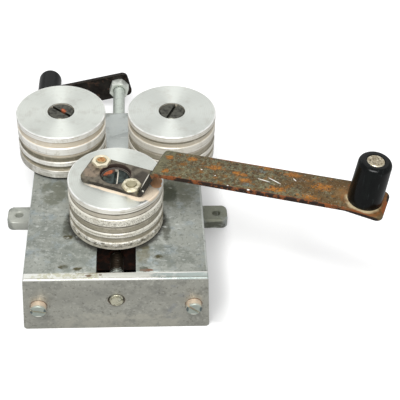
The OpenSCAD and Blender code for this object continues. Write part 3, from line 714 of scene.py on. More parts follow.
@dataclass(frozen=True)
class RustedBar(Finish):
    """Hot-rolled flat bar, bare, rusted in patches and rubbed by hands.

    The eye sees olive-grey steel with orange and brown rust that thickens towards the knob,
    blue tints of mill scale, white scratches, a black riser with a line of painted shadow under
    the flat beside it, and a bronze, rubbed end under the knob, paler on its near side as a
    painted reflection. It is laid out along the bar from the drive axle.
    """

    name: str = "rusted_flat_bar"
    colour: str = "6B674C"
    metal: float = 0.3
    reliefs: Reliefs = (Relief(1.2, 0.2), Relief(6, 0.2))
    half: float = 12.7
    bend: float = 31.5
    crown: float = 109.4
    rise: float = 6.8

    def layers(self) -> Sequence[Stain]:
        """Give the stains, from the lowest up.

        Returns:
            The stains of the whole bar, its edges, its end, its inner flat and its knocks.
        """
        whole, outward = (on_bar(100, 0, 76, 60, 0.2),), (on_bar(150, 0, 105, 60, 0.9),)
        patches = tuple(on_bar(*patch, 0.95) for patch in (
            (36, 6, 9, 7.5), (38, -7.8, 8, 7), (50, 7.5, 13, 7), (68, 3, 20, 7), (84, 1.2, 16, 7),
            (98, 10.8, 17, 5), (116, 9, 17, 7), (136, 2, 22, 11), (110, -7.5, 19, 8),
            (130, -9, 22, 7), (90, -4, 14, 6)))
        near = on_bar(95, -self.half - 0.6, 110, 2.4, 0.6)
        flat = (Zone((0, 0, 86), (26, 40, 6), 0.2),)
        slope = math.tan(math.radians(self.rise))
        knocks = tuple(
            Zone((s, t, self.crown + (s - self.bend) * slope), (along, across, 1.6), 0.6, turn)
            for s, t, along, across, turn in (
                (100.8, -1, 7.6, 0.6, -10), (107.2, 0.2, 10, 0.6, -24), (60, -0.9, 0.9, 0.7, 0),
                (81, -11.7, 1, 0.6, 0), (94.3, -12.2, 1.4, 0.8, 0), (70.2, -4.4, 0.9, 0.5, 0),
                (118.7, 4.4, 2.6, 0.6, -39)))
        return (
            # Bare steel, with dark scale, pale rubbed grain and blue tints.
            Stain("474330", 5, (0.45, 0.58), 0.75, 1, detail=8),
            Stain("8E8866", 1.8, (0.52, 0.62), 0.65, 2, detail=6),
            Stain("66706E", 5, (0.28, 0.46), 0.75, 3, (
                on_bar(96.1, 6.8, 9, 4), on_bar(122.3, 5, 9, 4), on_bar(91.3, -7.6, 8, 3.5))),
            # Rust, from a brown wash to orange patches a finger wide.
            Stain("5C4119", 12, (0.36, 0.52), 0.8, 4, outward, rough=0.75, metal=0.15, detail=8),
            Stain("553C18", 2.4, (0.47, 0.56), 0.8, 5, whole, rough=0.85, metal=0.1, detail=6),
            Stain("79501A", 4.5, (0.55, 0.63), 0.85, 21, whole, rough=0.85, metal=0.05, detail=8),
            Stain("90591A", 2.4, (0.38, 0.5), 0.85, 6, patches, rough=0.85, metal=0.05, detail=8),
            Stain("AE7324", 1.6, (0.46, 0.56), 0.7, 7, patches, rough=0.9, metal=0, detail=6),
            Stain("241C10", 1.5, (0.56, 0.64), 0.85, 8, whole, rough=0.7, metal=0.2),
            Stain("B3AE96", 1, (0.6, 0.68), 0.55, 9, whole, rough=0.45),
            # The two long edges, with orange rust and black scale.
            Stain("83461A", 5, (0.25, 0.42), 0.9, 10, (near, on_bar(95, self.half, 70, 2, 0.8)),
                  rough=0.85, metal=0.05, detail=6),
            Stain("1D150D", 6, (0.4, 0.48), 0.95, 11, (near,), rough=0.6, metal=0.3),
            # The end that the knob turns on, bronze-brown, and pale round the knob where it is
            # rubbed, with a painted reflection making its near side paler.
            Stain("614119", 6, (0.15, 0.4), 0.85, 12, (on_bar(164, 0, 20, 20, 0.5),), rough=0.6,
                  metal=0.25),
            Stain("7A4C1F", 2.4, (0.46, 0.56), 0.8, 22, (on_bar(164, 0, 20, 20, 0.3),), rough=0.8,
                  metal=0.05, detail=6),
            Stain("997544", 4, (0.25, 0.55), 0.42, 27, (on_bar(150, 0, 11, 13, 0.9),), rough=0.6,
                  metal=0.1, detail=8),
            Stain("D6C6A0", 6, (0.18, 0.5), 0.85, 13, (on_bar(162.6, -2.8, 14.6, 13.4, 0.45),),
                  rough=0.45, metal=0.3),
            Stain("7A3F12", 3, (0.3, 0.45), 0.9, 14, (
                on_bar(177, 0, 4.5, 16, 0.7), on_bar(164, -13.2, 13, 2, 0.7)), rough=0.85,
                metal=0.05, detail=6),
            # Black scale on the tip, and along the lower half of the edges.
            Stain("140D07", 4, (0.14, 0.36), 0.95, 23, (
                on_bar(176.4, 8.5, 1.9, 7, 0.5),
                Zone((163, -self.half, 120.3), (17, 1.8, 2.7), 0.4),
                Zone((176.5, 0, 119.8), (1.8, 15, 2.7), 0.4)), rough=0.7, metal=0.1),
            # The flat under the nuts.
            Stain("6E675A", 5, (0.05, 0.3), 0.95, 15, flat, rough=0.45),
            Stain("93826F", 5, (0.3, 0.5), 0.8, 16, (Zone((-15, -2, 88), (9, 12, 6)),), rough=0.5),
            Stain("352E25", 4, (0.44, 0.64), 0.75, 17, flat, detail=8),
            Stain("2A241C", 5, (0.26, 0.46), 0.7, 24, (Zone((18, 0, 88), (12, 16, 6), 0.7),),
                  rough=0.55, detail=8),
            # Rust in the wall of the hole over the axle.
            Stain("2C1A13", 3, (0.1, 0.36), 0.9, 26, (Zone((0, 0, 85), (11, 11, 30), 0.08),),
                  rough=0.85, metal=0),
            # The riser, black at its foot, and a black line of painted shadow under the flat's near
            # edge.
            Stain("1C1913", 6, (0.05, 0.3), 0.95, 18, (Zone((26.5, 0, 98), (7, 40, 13), 0.25),),
                  rough=0.55, metal=0.15),
            Stain("15120E", 8, (0.1, 0.4), 0.95, 19, (
                Zone((24, 0, 90.5), (6, 40, 12), 0.7),
                Zone((0, -self.half - 1, 86.5), (26, 2.6, 4), 0.6)), rough=0.5, metal=0.1),
            # A bright line in the corner of the bend, and one fleck beside it.
            Stain("EDE8DA", 2, (0.16, 0.4), 0.9, 25, (
                Zone((21.1, 0, 89.2), (0.7, 13, 1.8), 0.5, 4),
                Zone((25, -12.6, 92.2), (1, 1.3, 1.1))), rough=0.4, metal=0.3),
            # White scratches and flecks where the bar was knocked.
            Stain("F4F1EA", 0.9, (0.26, 0.44), 0.95, 20, knocks, rough=0.35, metal=0.4, detail=6),
        )


@dataclass(frozen=True)
class OilBlackenedBar(Finish):
    """Flat bar, oil-blackened, of the adjusting crank.

    The eye sees a dark brown-black with a little brown showing through.
    """

    name: str = "oil_blackened_bar"
    colour: str = "33302C"
    rough: float = 0.4
    metal: float = 0.85
    reliefs: Reliefs = (Relief(1.6, 0.08),)
    stains: Stains = (
        Stain("1E1A18", 9, (0.42, 0.65), 0.8, 1),
        Stain("4E3526", 4, (0.55, 0.68), 0.7, 2, rough=0.75, metal=0.3),
        Stain("6A655C", 1.5, (0.64, 0.74), 0.6, 3),
    )


@dataclass(frozen=True)
class CarriageIron(Finish):
    """Cast iron of the carriage, rusted and oily in the dark of the slot.

    The eye sees a near-black brown with redder rust.
    """

    name: str = "oily_cast_iron"
    colour: str = "1A0F08"
    rough: float = 0.75
    gloss: float = 0.15
    reliefs: Reliefs = (Relief(1.4, 0.12),)
    stains: Stains = (
        Stain("3C1E10", 5, (0.45, 0.62), 0.8, 1),
        Stain("0E0906", 8, (0.5, 0.66), 0.85, 2),
    )


@dataclass(frozen=True)
class MouldedPhenolic(Finish):
    """Black phenolic plastic of the knobs, moulded and polished by hands.

    The eye sees a deep gloss black with soft streaks and fine rub marks round the knob.
    """

    name: str = "moulded_phenolic"
    colour: str = "060808"
    rough: float = 0.2
    gloss: float = 0.2
    reliefs: Reliefs = (Relief(9, 0.05),)
    stains: Stains = (
        Stain("0D1110", 5, (0.45, 0.7), 0.8, 1, rough=0.3, stretch=(1, 1, 0.3)),
        # Grip marks, drawn half a millimetre wide so that they show.
        Stain("2A3030", 1.4, (0.58, 0.7), 0.6, 2, rough=0.45, stretch=(1, 1, 0.2)),
    )


def softened(node: bpy.types.Object, width: float, material: Material,
             beyond: float) -> Mesh:
    """Copy a node's mesh with its triangles merged and its sharp outer edges rounded off.

    Args:
        node: The frame's node.
        width: The width of the rounding, in millimetres.
        material: The finish of the copy.
        beyond: How far an edge is from the middle plane before it is rounded, in millimetres.

    Returns:
        The copy.
    """
    work = bmesh.new()
    work.from_mesh(node.data)
    bmesh.ops.remove_doubles(work, verts=work.verts, dist=MERGE * MM)
    bmesh.ops.dissolve_limit(
        work, angle_limit=math.radians(FLAT), verts=work.verts, edges=work.edges)
    sharp = [edge for edge in work.edges
             if edge.is_convex and edge.calc_face_angle() > math.radians(SHARP)
             and sum(abs(vert.co.x) for vert in edge.verts) >= 2 * beyond * MM]
    bmesh.ops.bevel(
        work, geom=sharp, offset=width * MM, segments=2, profile=0.5, affect="EDGES",
        clamp_overlap=False)
    bmesh.ops.remove_doubles(work, verts=work.verts, dist=MERGE * MM)
    bmesh.ops.triangulate(work, faces=work.faces)
    mesh = bpy.data.meshes.new("softened_" + node.name)
    work.to_mesh(mesh)
    work.free()
    mesh.shade_smooth()
    mesh.set_sharp_from_angle(angle=math.radians(SHARP))
    mesh.materials.append(material)
    return mesh


def put(name: str, data: bpy.types.ID) -> bpy.types.Object:
    """Put a new object into the scene.

    Args:
        name: Its name.
        data: Its mesh, light or camera.

    Returns:
        The object.
    """
    made = bpy.data.objects.new(name, data)
    bpy.context.scene.collection.objects.link(made)
    return made


def new_piece(name: str, mesh: Mesh, body: str,
              replaced: Sequence[str] = ()) -> None:
    """Put a finished mesh into the scene as a piece that rides on a body.

    Args:
        name: The piece's name.
        mesh: Its mesh, with its place in it and its material set.
        body: The body that it rides on.
        replaced: The nodes that it stands for.
    """
    piece = put(name, mesh)
    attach(piece, body)
    if replaced:
        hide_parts(*replaced)
    LOG.info("%s: %d faces on %s", name, len(mesh.polygons), body)


class NodeRecipe:
    """A Geometry Nodes tree with named sizes, run once to make a plain mesh."""

    def __init__(self, name: str, sizes: Mapping[str, float]) -> None:
        """Start a tree.

        Args:
            name: The tree's name.
            sizes: Its named inputs and their values, in metres, counts or radians.
        """
        self.tree = bpy.data.node_groups.new(name, "GeometryNodeTree")
        self.sizes = dict(sizes)
        face = self.tree.interface
        face.new_socket("Geometry", in_out="INPUT", socket_type="NodeSocketGeometry")
        for key, value in sizes.items():
            kind = "NodeSocketInt" if isinstance(value, int) else "NodeSocketFloat"
            face.new_socket(key, in_out="INPUT", socket_type=kind)
        face.new_socket("Geometry", in_out="OUTPUT", socket_type="NodeSocketGeometry")
        self.size = self.tree.nodes.new("NodeGroupInput").outputs

    def add(self, kind: str, inputs: Optional[Inputs] = None, **settings: Any) -> Socket:
        """Add a node to the tree and give its first output, as add_node does."""
        return add_node(self.tree, kind, inputs, **settings)

    def moved(self, shape: Socket, **inputs: Value) -> Socket:
        """Move, turn or scale a shape by the inputs of a Transform node."""
        return self.add("GeometryNodeTransform", {"Geometry": shape, **inputs})

    def joined(self, shapes: list[Socket]) -> Socket:
        """Join several shapes."""
        return self.add("GeometryNodeJoinGeometry", {"Geometry": shapes})

    def run(self, shape: Socket, material: Material) -> Mesh:
        """Close the tree and turn what it makes into a mesh.

        Args:
            shape: The socket that gives the shape.
            material: The material of the whole mesh.

        Returns:
            The mesh, free of the tree.
        """
        real = self.add("GeometryNodeRealizeInstances", {"Geometry": shape})
        dressed = self.add("GeometryNodeSetMaterial", {"Geometry": real, "Material": material})
        self.add("NodeGroupOutput", {"Geometry": dressed})
        host = put(self.tree.name, bpy.data.meshes.new(self.tree.name))
        modifier = host.modifiers.new("recipe", "NODES")
        modifier.node_group = self.tree
        for item in self.tree.interface.items_tree:
            if item.in_out == "INPUT" and item.name in self.sizes:
                modifier[item.identifier] = self.sizes[item.name]
        graph = bpy.context.evaluated_depsgraph_get()
        mesh = bpy.data.meshes.new_from_object(host.evaluated_get(graph), depsgraph=graph)
        host.modifiers.clear()
        bpy.data.objects.remove(host)
        return mesh


@dataclass
class Assembly:
    """A sub-assembly of the frame.

    Attributes:
        nodes: The frame's nodes by name.
    """

    nodes: Mapping[str, bpy.types.Object]

    def dress(self, material: Material, *names: str) -> None:
        """Give some of the frame's nodes a finish.

        Args:
            material: The finish.
            *names: The nodes to dress.
        """
        for name in names:
            for slot in self.nodes[name].material_slots:
                slot.material = material
            LOG.info("%s: %s", name, material.name)

    def round_off(self, name: str, width: float, finish: Finish, body: str, slot: str,
                  beyond: float = 0.0) -> None:
        """Let a copy with rounded edges stand for a node.

        Args:
            name: The node.
            width: The width of the rounding, in millimetres.
            finish: The copy's finish.
            body: The body that it rides on.
            slot: Not used.
            beyond: How far an edge is from the middle plane before it is rounded.
        """
        mesh = softened(self.nodes[name], width, finish.make(), beyond)
        new_piece("softened_" + name, mesh, body, [name])


@dataclass
class Base(Assembly):
    """The cast base, its front plate, and the screws and washers that stay with it."""

    lug_edge: float = 1.0
    lug_start: float = 62.0
    plate_edge: float = 0.3
    # Rust on the heads of the back axles.
    rusty: Mapping[Side, Zones] = field(default_factory=lambda: {
        Side.LEFT: (Zone((1.8, 0.8, 85), (3.4, 6, 4), 0.9, 35),), Side.RIGHT: ()})
    zinc: Material = field(init=False)

    def build(self) -> None:
        """Dress the casting, the plate, the screws and the washers."""
        self.round_off("base_casting", self.lug_edge, SandCastAluminium(), "base_group",
                       "cast_aluminium", self.lug_start)
        self.round_off("front_plate", self.plate_edge, MilledAluminium(), "base_group",
                       "cast_aluminium")
        self.zinc = ZincPlatedSteel().make()
        self.dress(self.zinc, "left_thrust_washer", "right_thrust_washer")
        screws = ZincPlatedSteel("zinc_plated_plate_screws", colour="DEDBCB", bloom="EDE2CE",
                                 dull="B4B8AE", stains=self.screw_stains())
        self.dress(screws.make(), "front_plate_screws")
        for side in Side:
            name = f"{side.name.lower()}_axle_screw"
            place = Place((side.value * BACK_AXLE[0], BACK_AXLE[1], 0.0))
            finish = BlackenedSteel("blackened_" + name, place, rusty=self.rusty[side])
            self.dress(finish.make(), name)

    @staticmethod
    def screw_stains() -> Stains:
        """Describe the stains of the plate's screws.

        Returns:
            Pale peach on the upper sides, as painted light, and green-grey on the faces, with
            painted shade at both ends of each face and a painted highlight along its bottom.
        """
        # The pale peach is painted light, the dark ends of each face painted shade, and the white
        # line along the bottom a painted highlight.
        marks = (("F6DFC6", (0.2, 0.4), 0.85, (0,), -106.5, 2.4, (7, 3.2, 6), 0.3),
                 ("A6B2AA", (0.1, 0.4), 0.85, (0,), -110.4, 0, (8, 1.6, 8), 0.4),
                 ("46555A", (0.1, 0.4), 0.8, (-4.6, 4.6), -110.4, 0.4, (1.5, 1.6, 3.2), 0.6),
                 ("F8FAEE", (0.1, 0.4), 0.95, (0,), -110.2, -4.6, (3.8, 2, 1.3), 0.6))
        return tuple(
            Stain(colour, 4, edge, amount, seed=amount, zones=tuple(
                Zone((side.value * PLATE_SCREW[0] + across, y, PLATE_SCREW[1] + up), half, soft)
                for side in Side for across in shifts))
            for colour, edge, amount, shifts, y, up, half, soft in marks)


@dataclass
class Rollers(Assembly):
    """The three grooved rollers, with the knurling on the driven one."""

    # Each knurled band: its lower edge above the roller's foot, and its height.
    knurled: tuple[tuple[float, float], ...] = ((21.2, 5.0), (11.1, 2.6), (0.8, 4.6))
    knurl_pitch: float = 1.5
    knurl_width: float = 0.45
    knurl_proud: float = 0.16
    knurl_lean: float = 30.0
    back_corners: tuple[float, ...] = (14.4, 10.4)
    # The turn of a back roller's layout, and how much its side adds to it, in degrees.
    back_turn: float = 90.0
    side_turn: float = 50.0
    # The colours of each back roller's face, flanks, painted lower shade and grooves.
    sides: Mapping[Side, tuple[str, str, str, str]] = field(default_factory=lambda: {
        Side.LEFT: ("E7EBE4", "FFFDF6", "7B7563", "DED0B8"),
        Side.RIGHT: ("E3E7E1", "EAE5D9", "A8A290", "C2B7A2")})
    # Dark lines on each back roller, of dirt and painted shade: their height above its foot, and
    # their half width.
    lines: Mapping[Side, tuple[tuple[float, float], ...]] = field(default_factory=lambda: {
        Side.LEFT: ((16.4, 2.2), (8.8, 1.8)), Side.RIGHT: ((30.4, 0.9),)})

    def build(self) -> None:
        """Dress the rollers and knurl the driven one."""
        for side in Side:
            name = f"{side.name.lower()}_roller"
            place = Place((side.value * BACK_AXLE[0], BACK_AXLE[1], ROLLER_FOOT),
                          self.back_turn + self.side_turn * side.value)
            face, flank, lower_shade, groove = self.sides[side]
            finish = TurnedAluminium(
                "turned_aluminium_" + name, place, face, side=flank, lower_shade=lower_shade,
                groove=groove, corners=self.back_corners, stains=self.dirt_and_shade(side))
            self.dress(finish.make(), name)
        satin = self.drive_finish().make()
        self.dress(satin, "drive_roller")
        new_piece("drive_roller_knurl", self.knurl(satin), "drive_group")

    def dirt_and_shade(self, side: Side) -> Stains:
        """Describe the dirt and painted shade on a back roller.

        Args:
            side: The roller's side.

        Returns:
            Dark lines all round, of dirt and painted shade, and a darker outer side, of oil and
            painted shade.
        """
        # The outer side is darkened towards its edge, by oil and painted shade.
        outer = Zone((-24.3, -20.4 * side.value, 13), (12, 12, 24), 0.8)
        lines = tuple(band(z, half, 0.6) for z, half in self.lines[side])
        return (Stain("5E5842", 4, (0.2, 0.5), 0.8, 12, lines, detail=6),
                Stain("6F6A55", 7, (0.2, 0.55), 0.7, 14, (outer,), stretch=(1, 1, 2)))

    @staticmethod
    def drive_finish() -> TurnedAluminium:
        """Describe the driven roller's finish.

        Returns:
            The finish, with rust that has bled from the crank, and a pale peach patch beside it
            that is rust and a painted reflection.
        """
        top = ROLLER_HEIGHT
        place = Place((*DRIVE_AXLE, ROLLER_FOOT), DRIVE_TURN)
        return TurnedAluminium("turned_aluminium_drive_roller", place, side="F3F0E4", stains=(
            # Pale peach on the top beside the crank, bled rust with a painted reflection on it.
            Stain("FCE7CB", 4, (0.1, 0.4), 0.9, 4, rough=0.6, metal=0, zones=(
                Zone((1, -13.6, top), (27, 2.4, 3), 0.8), Zone((27, -6, top), (9, 9.5, 4)),
                Zone((20.5, -13, top), (9, 4.2, 3), 0.6))),
            Stain("DDA26C", 3, (0.08, 0.28), 0.95, 5, rough=0.75, metal=0, zones=(
                Zone((25.6, 6.8, top), (5, 5.2, 3), 0.2),
                Zone((27.6, 3.6, top), (3.9, 3.4, 3), 0.2))),
            # Dirt round the axle's head, seen through the hole in the crank.
            Stain("3A2219", 2, (0.1, 0.3), 0.92, 9, (Zone((0, 0, top), (10.8, 10.8, 3), 0.1),),
                  rough=0.85, metal=0),
            # Nicks in the upper half of the bottom flange, where the came has scuffed it, with
            # white specks painted as glints.
            Stain("4E4839", 2, (0.48, 0.56), 0.85, 6, (band(4, 2.6, 0.5),), rough=0.6,
                  stretch=(0.6, 0.6, 1)),
            Stain("FFFFFA", 1.8, (0.52, 0.6), 0.8, 7, (band(5, 1.9, 0.5),), stretch=(0.6, 0.6, 1)),
            # Dirt between the knurls of the wide ring.
            Stain("6F6750", 1.2, (0.5, 0.6), 0.55, 8, (band(23.7, 3, 0.3),)),
            # Oily dirt in flecks all round, below the top flange.
            Stain("655F49", 2.2, (0.52, 0.62), 0.38, 12, (band(12, 17, 0.3),), detail=6,
                  stretch=(1, 1, 1.6)),
            # Old oil on the two sides that the hands don't rub, with painted shade towards the
            # roller's edges there.
            Stain("665F43", 7, (0.2, 0.55), 0.75, 10, rough=0.5, stretch=(1, 1, 2), zones=(
                Zone((-29.1, -12.7, 13), (9, 17, 26), 0.8),
                Zone((29.1, 12.7, 13), (9, 17, 26), 0.8))),
        ))

    def knurl(self, material: Material) -> Mesh:
        """Lay crossed ridges round the bands that grip the came.

        Args:
            material: The roller's material.

        Returns:
            The ridges as one mesh.
        """
        lean = math.radians(self.knurl_lean)
        recipe = NodeRecipe("knurled_bands", {
            "Radius": ROLLER_RADIUS * MM,
            "Count": round(2 * math.pi * ROLLER_RADIUS / self.knurl_pitch),
            "Ridge Width": self.knurl_width * MM, "Ridge Depth": 2 * self.knurl_proud * MM,
            "Lean": lean})
        size, add = recipe.size, recipe.add
        ring = add("GeometryNodeMeshCircle", {
            "Vertices": size["Count"], "Radius": size["Radius"]}, fill_type="NONE")
        outward = add("FunctionNodeAlignRotationToVector", {
            "Vector": add("GeometryNodeInputPosition")}, axis="X")
        bands = []
        for low, high in self.knurled:
            for way in (1.0, -1.0):
                box = add("ShaderNodeCombineXYZ", {
                    "X": size["Ridge Depth"], "Y": size["Ridge Width"],
                    "Z": high / math.cos(lean) * MM})
                turn = add("ShaderNodeMath", {0: size["Lean"], 1: way}, operation="MULTIPLY")
                tilt = add("FunctionNodeAxisAngleToRotation", {
                    "Axis": (1.0, 0.0, 0.0), "Angle": turn})
                facing = add("FunctionNodeRotateRotation", {
                    "Rotation": outward, "Rotate By": tilt}, rotation_space="LOCAL")
                ridges = add("GeometryNodeInstanceOnPoints", {
                    "Points": ring, "Instance": add("GeometryNodeMeshCube", {"Size": box}),
                    "Rotation": facing})
                middle = ROLLER_FOOT + low + high / 2
                bands.append(recipe.moved(ridges, Translation=metres((*DRIVE_AXLE, middle))))
        return recipe.run(recipe.joined(bands), material)


@dataclass
class Carriage(Assembly):
    """The carriage in its slot, with the drive axle."""

    zinc: Material
    rusty: Zone = Zone((-5, 5.4, 85), (10, 5, 4), 0.9, 30)
    # A painted highlight along the lit wall of the axle head's slot.
    bright: Zone = Zone((1.25, 0, 85.2), (0.75, 14, 2), 0.6, -4)

    def build(self) -> None:
        """Dress the carriage, its axle and its washer."""
        self.dress(CarriageIron().make(), "carriage")
        self.dress(self.zinc, "drive_thrust_washer")
        axle = BlackenedSteel("blackened_drive_axle_screw", Place((*DRIVE_AXLE, 0.0)), "4F5855",
                              rusty=(self.rusty,), bright=(self.bright,))
        self.dress(axle.make(), "drive_axle_screw")


@dataclass
class LeadScrew(Assembly):
    """The lead screw with its thread cut, and its two collars."""

    front: float = -106.7
    back: float = 148.2
    thread_end: float = 47.0
    rear_thread: float = 126.0
    crest: float = 4.7625
    pitch: float = 1.5875
    # The depth of the thread, as a share of its pitch.
    depth_share: float = 0.6134
    chamfer: float = 1.0
    steps: int = 24
    rod_sides: int = 48
    # How far the oily length is back from the front thread's middle; the rod is left pale just
    # behind the plate as a painted highlight.
    highlight_gap: float = 10.5

    def build(self) -> None:
        """Cut the screw and dress its collars."""
        new_piece("lead_screw_thread", self.thread(), "screw_group", ["lead_screw"])
        collars = BlackenedSteel("blackened_collars", rust=Rust.SPOTTED).make()
        self.dress(collars, "front_thrust_collar", "rear_thrust_collar", "collar_set_screws")

    def thread(self) -> Mesh:
        """Wind a V thread round both threaded lengths and join the plain shank between them.

        Returns:
            The screw as one mesh.
        """
        depth = self.depth_share * self.pitch
        recipe = NodeRecipe("lead_screw_thread", {
            "Crest Radius": self.crest * MM, "Root Radius": (self.crest - depth) * MM,
            "Pitch": self.pitch * MM, "Thread Depth": depth * MM, "Steps": self.steps})
        size, add = recipe.size, recipe.add
        half_pitch = add("ShaderNodeMath", {0: size["Pitch"], 1: 0.5}, operation="MULTIPLY")
        vee = add("ShaderNodeCombineXYZ", {"X": size["Thread Depth"], "Y": half_pitch, "Z": 1.0})
        diamond = add("GeometryNodeCurvePrimitiveCircle", {"Resolution": 4, "Radius": 1.0})
        tooth = recipe.moved(diamond, Scale=vee)
        shapes = []
        for start, end in ((self.front, self.thread_end), (self.rear_thread, self.back)):
            wound = end - start - 2 * self.chamfer
            helix = add("GeometryNodeCurveSpiral", {
                "Resolution": size["Steps"], "Rotations": wound / self.pitch,
                "Start Radius": size["Root Radius"], "End Radius": size["Root Radius"],
                "Height": wound * MM, "Reverse": True})
            upright = add("GeometryNodeSetCurveNormal", {"Curve": helix}, mode="Z_UP")
            wire = add("GeometryNodeCurveToMesh", {
                "Curve": upright, "Profile Curve": tooth, "Fill Caps": True})
            shapes.append(recipe.moved(wire, Translation=metres((0, 0, start + self.chamfer))))
        for radius, start, end in (("Root Radius", self.front, self.back),
                                   ("Crest Radius", self.thread_end, self.rear_thread)):
            rod = add("GeometryNodeMeshCylinder", {
                "Vertices": self.rod_sides, "Radius": size[radius], "Depth": (end - start) * MM})
            shapes.append(recipe.moved(rod, Translation=metres((0, 0, (start + end) / 2))))
        laid = recipe.moved(recipe.joined(shapes), Rotation=(-math.pi / 2, 0.0, 0.0),
                            Translation=metres((0, 0, SCREW_Z)))
        return recipe.run(laid, self.finish().make())

    def finish(self) -> ZincPlatedSteel:
        """Describe the screw's finish.

        Returns:
            The finish, brown with oil and rust where the carriage runs, and pale just behind the
            plate as a painted highlight.
        """
        middle, half = (self.front + self.thread_end) / 2, (self.thread_end - self.front) / 2
        run = (Zone((0, middle + self.highlight_gap, SCREW_Z), (9, half, 9), 0.1),)
        end = (Zone((0, self.front, SCREW_Z), (9, 4, 9), 0.2),)
        return ZincPlatedSteel(
            "zinc_plated_lead_screw", colour="CBD3CA", bloom="DCE2D8", dull="99A098", stains=(
                Stain("302113", 5, (0.1, 0.4), 0.97, 7, run, rough=0.6, metal=1),
                Stain("D0CBB0", 3, (0.2, 0.5), 0.8, 8, end),
                Stain("5F5A46", 1.8, (0.5, 0.6), 0.6, 9, end, detail=6)))


@dataclass
class AdjustingCrank(Assembly):
    """The small crank on the back end of the lead screw."""

    zinc: Material
    plastic: Material
    edge: float = 0.4

    def build(self) -> None:
        """Dress the crank, its nuts and its knob."""
        self.round_off("adjusting_crank_arm", self.edge, OilBlackenedBar(), "screw_group",
                       "dark_steel_bar")
        self.dress(self.zinc, "crank_inner_nut", "crank_lock_nut", "adjusting_knob_spindle")
        self.dress(self.plastic, "adjusting_knob")


@dataclass
class DriveCrank(Assembly):
    """The long crank on the drive roller, with its studs, nuts, spindle and knob."""

    plastic: Material
    edge: float = 0.5
    # The rusty top of the tail's stud, the dull nut of the other one, and the pitted middle of
    # the rivet's head, along the bar and up from the bench.
    worn: Zone = Zone((-13.3, 6.7, 91), (4.4, 4, 5), 0.6)
    dulled: Zone = Zone((13.3, -6.7, 91), (9, 9, 7), 0.2)
    peened: Zone = Zone((165.1, 0, 153), (5.7, 5.7, 6), 0.2)

    def build(self) -> None:
        """Dress the crank and its fittings."""
        place = Place((*DRIVE_AXLE, 0.0), DRIVE_TURN)
        self.round_off("drive_crank_arm", self.edge, RustedBar(place=place), "drive_group",
                       "rusted_steel_bar")
        worn, peened = (self.worn,), (self.peened,)
        fittings = {
            "crank_nuts": ("zinc_plated_stud_nuts", "F0E8CE", "F8F1DC", "CFC5A6", (
                Stain("9A6A3A", 2.5, (0.34, 0.5), 0.8, 5, worn, rough=0.8, metal=0.1),
                Stain("B4AD90", 2.5, (0.4, 0.58), 0.8, 6, (self.dulled,), detail=6))),
            "crank_studs": ("zinc_plated_studs", "A8A184", "BDB594", "6E6850", (
                Stain("BC8C54", 2, (0.2, 0.4), 0.9, 6, worn, rough=0.85, metal=0.1),
                Stain("8A5428", 1.4, (0.46, 0.56), 0.8, 7, worn, rough=0.9, metal=0, detail=6))),
            "drive_knob_spindle": ("peened_spindle", "D5CDB6", "E2DBC8", "A89C82", (
                Stain("8A7E66", 2.4, (0.36, 0.52), 0.85, 4, peened, rough=0.7, metal=0.2, detail=5),
                Stain("3C3222", 1.2, (0.5, 0.6), 0.8, 5, peened, rough=0.8, metal=0.1, detail=5))),
        }
        for node, (name, colour, bloom, dull, stains) in fittings.items():
            finish = ZincPlatedSteel(name, place, colour, bloom=bloom, dull=dull, stains=stains)
            self.dress(finish.make(), node)
        self.dress(self.plastic, "drive_knob")


@dataclass(frozen=True)
class Lamp:
    """A white softbox.

    Attributes:
        name: Its name.
        at: Where it hangs, in metres.
        aim: The point that it faces, in metres.
        size: Its width and height, in metres.
        glow: The radiance of its face.
    """

    name: str
    at: Point
    aim: Point
    size: tuple[float, float]
    glow: float


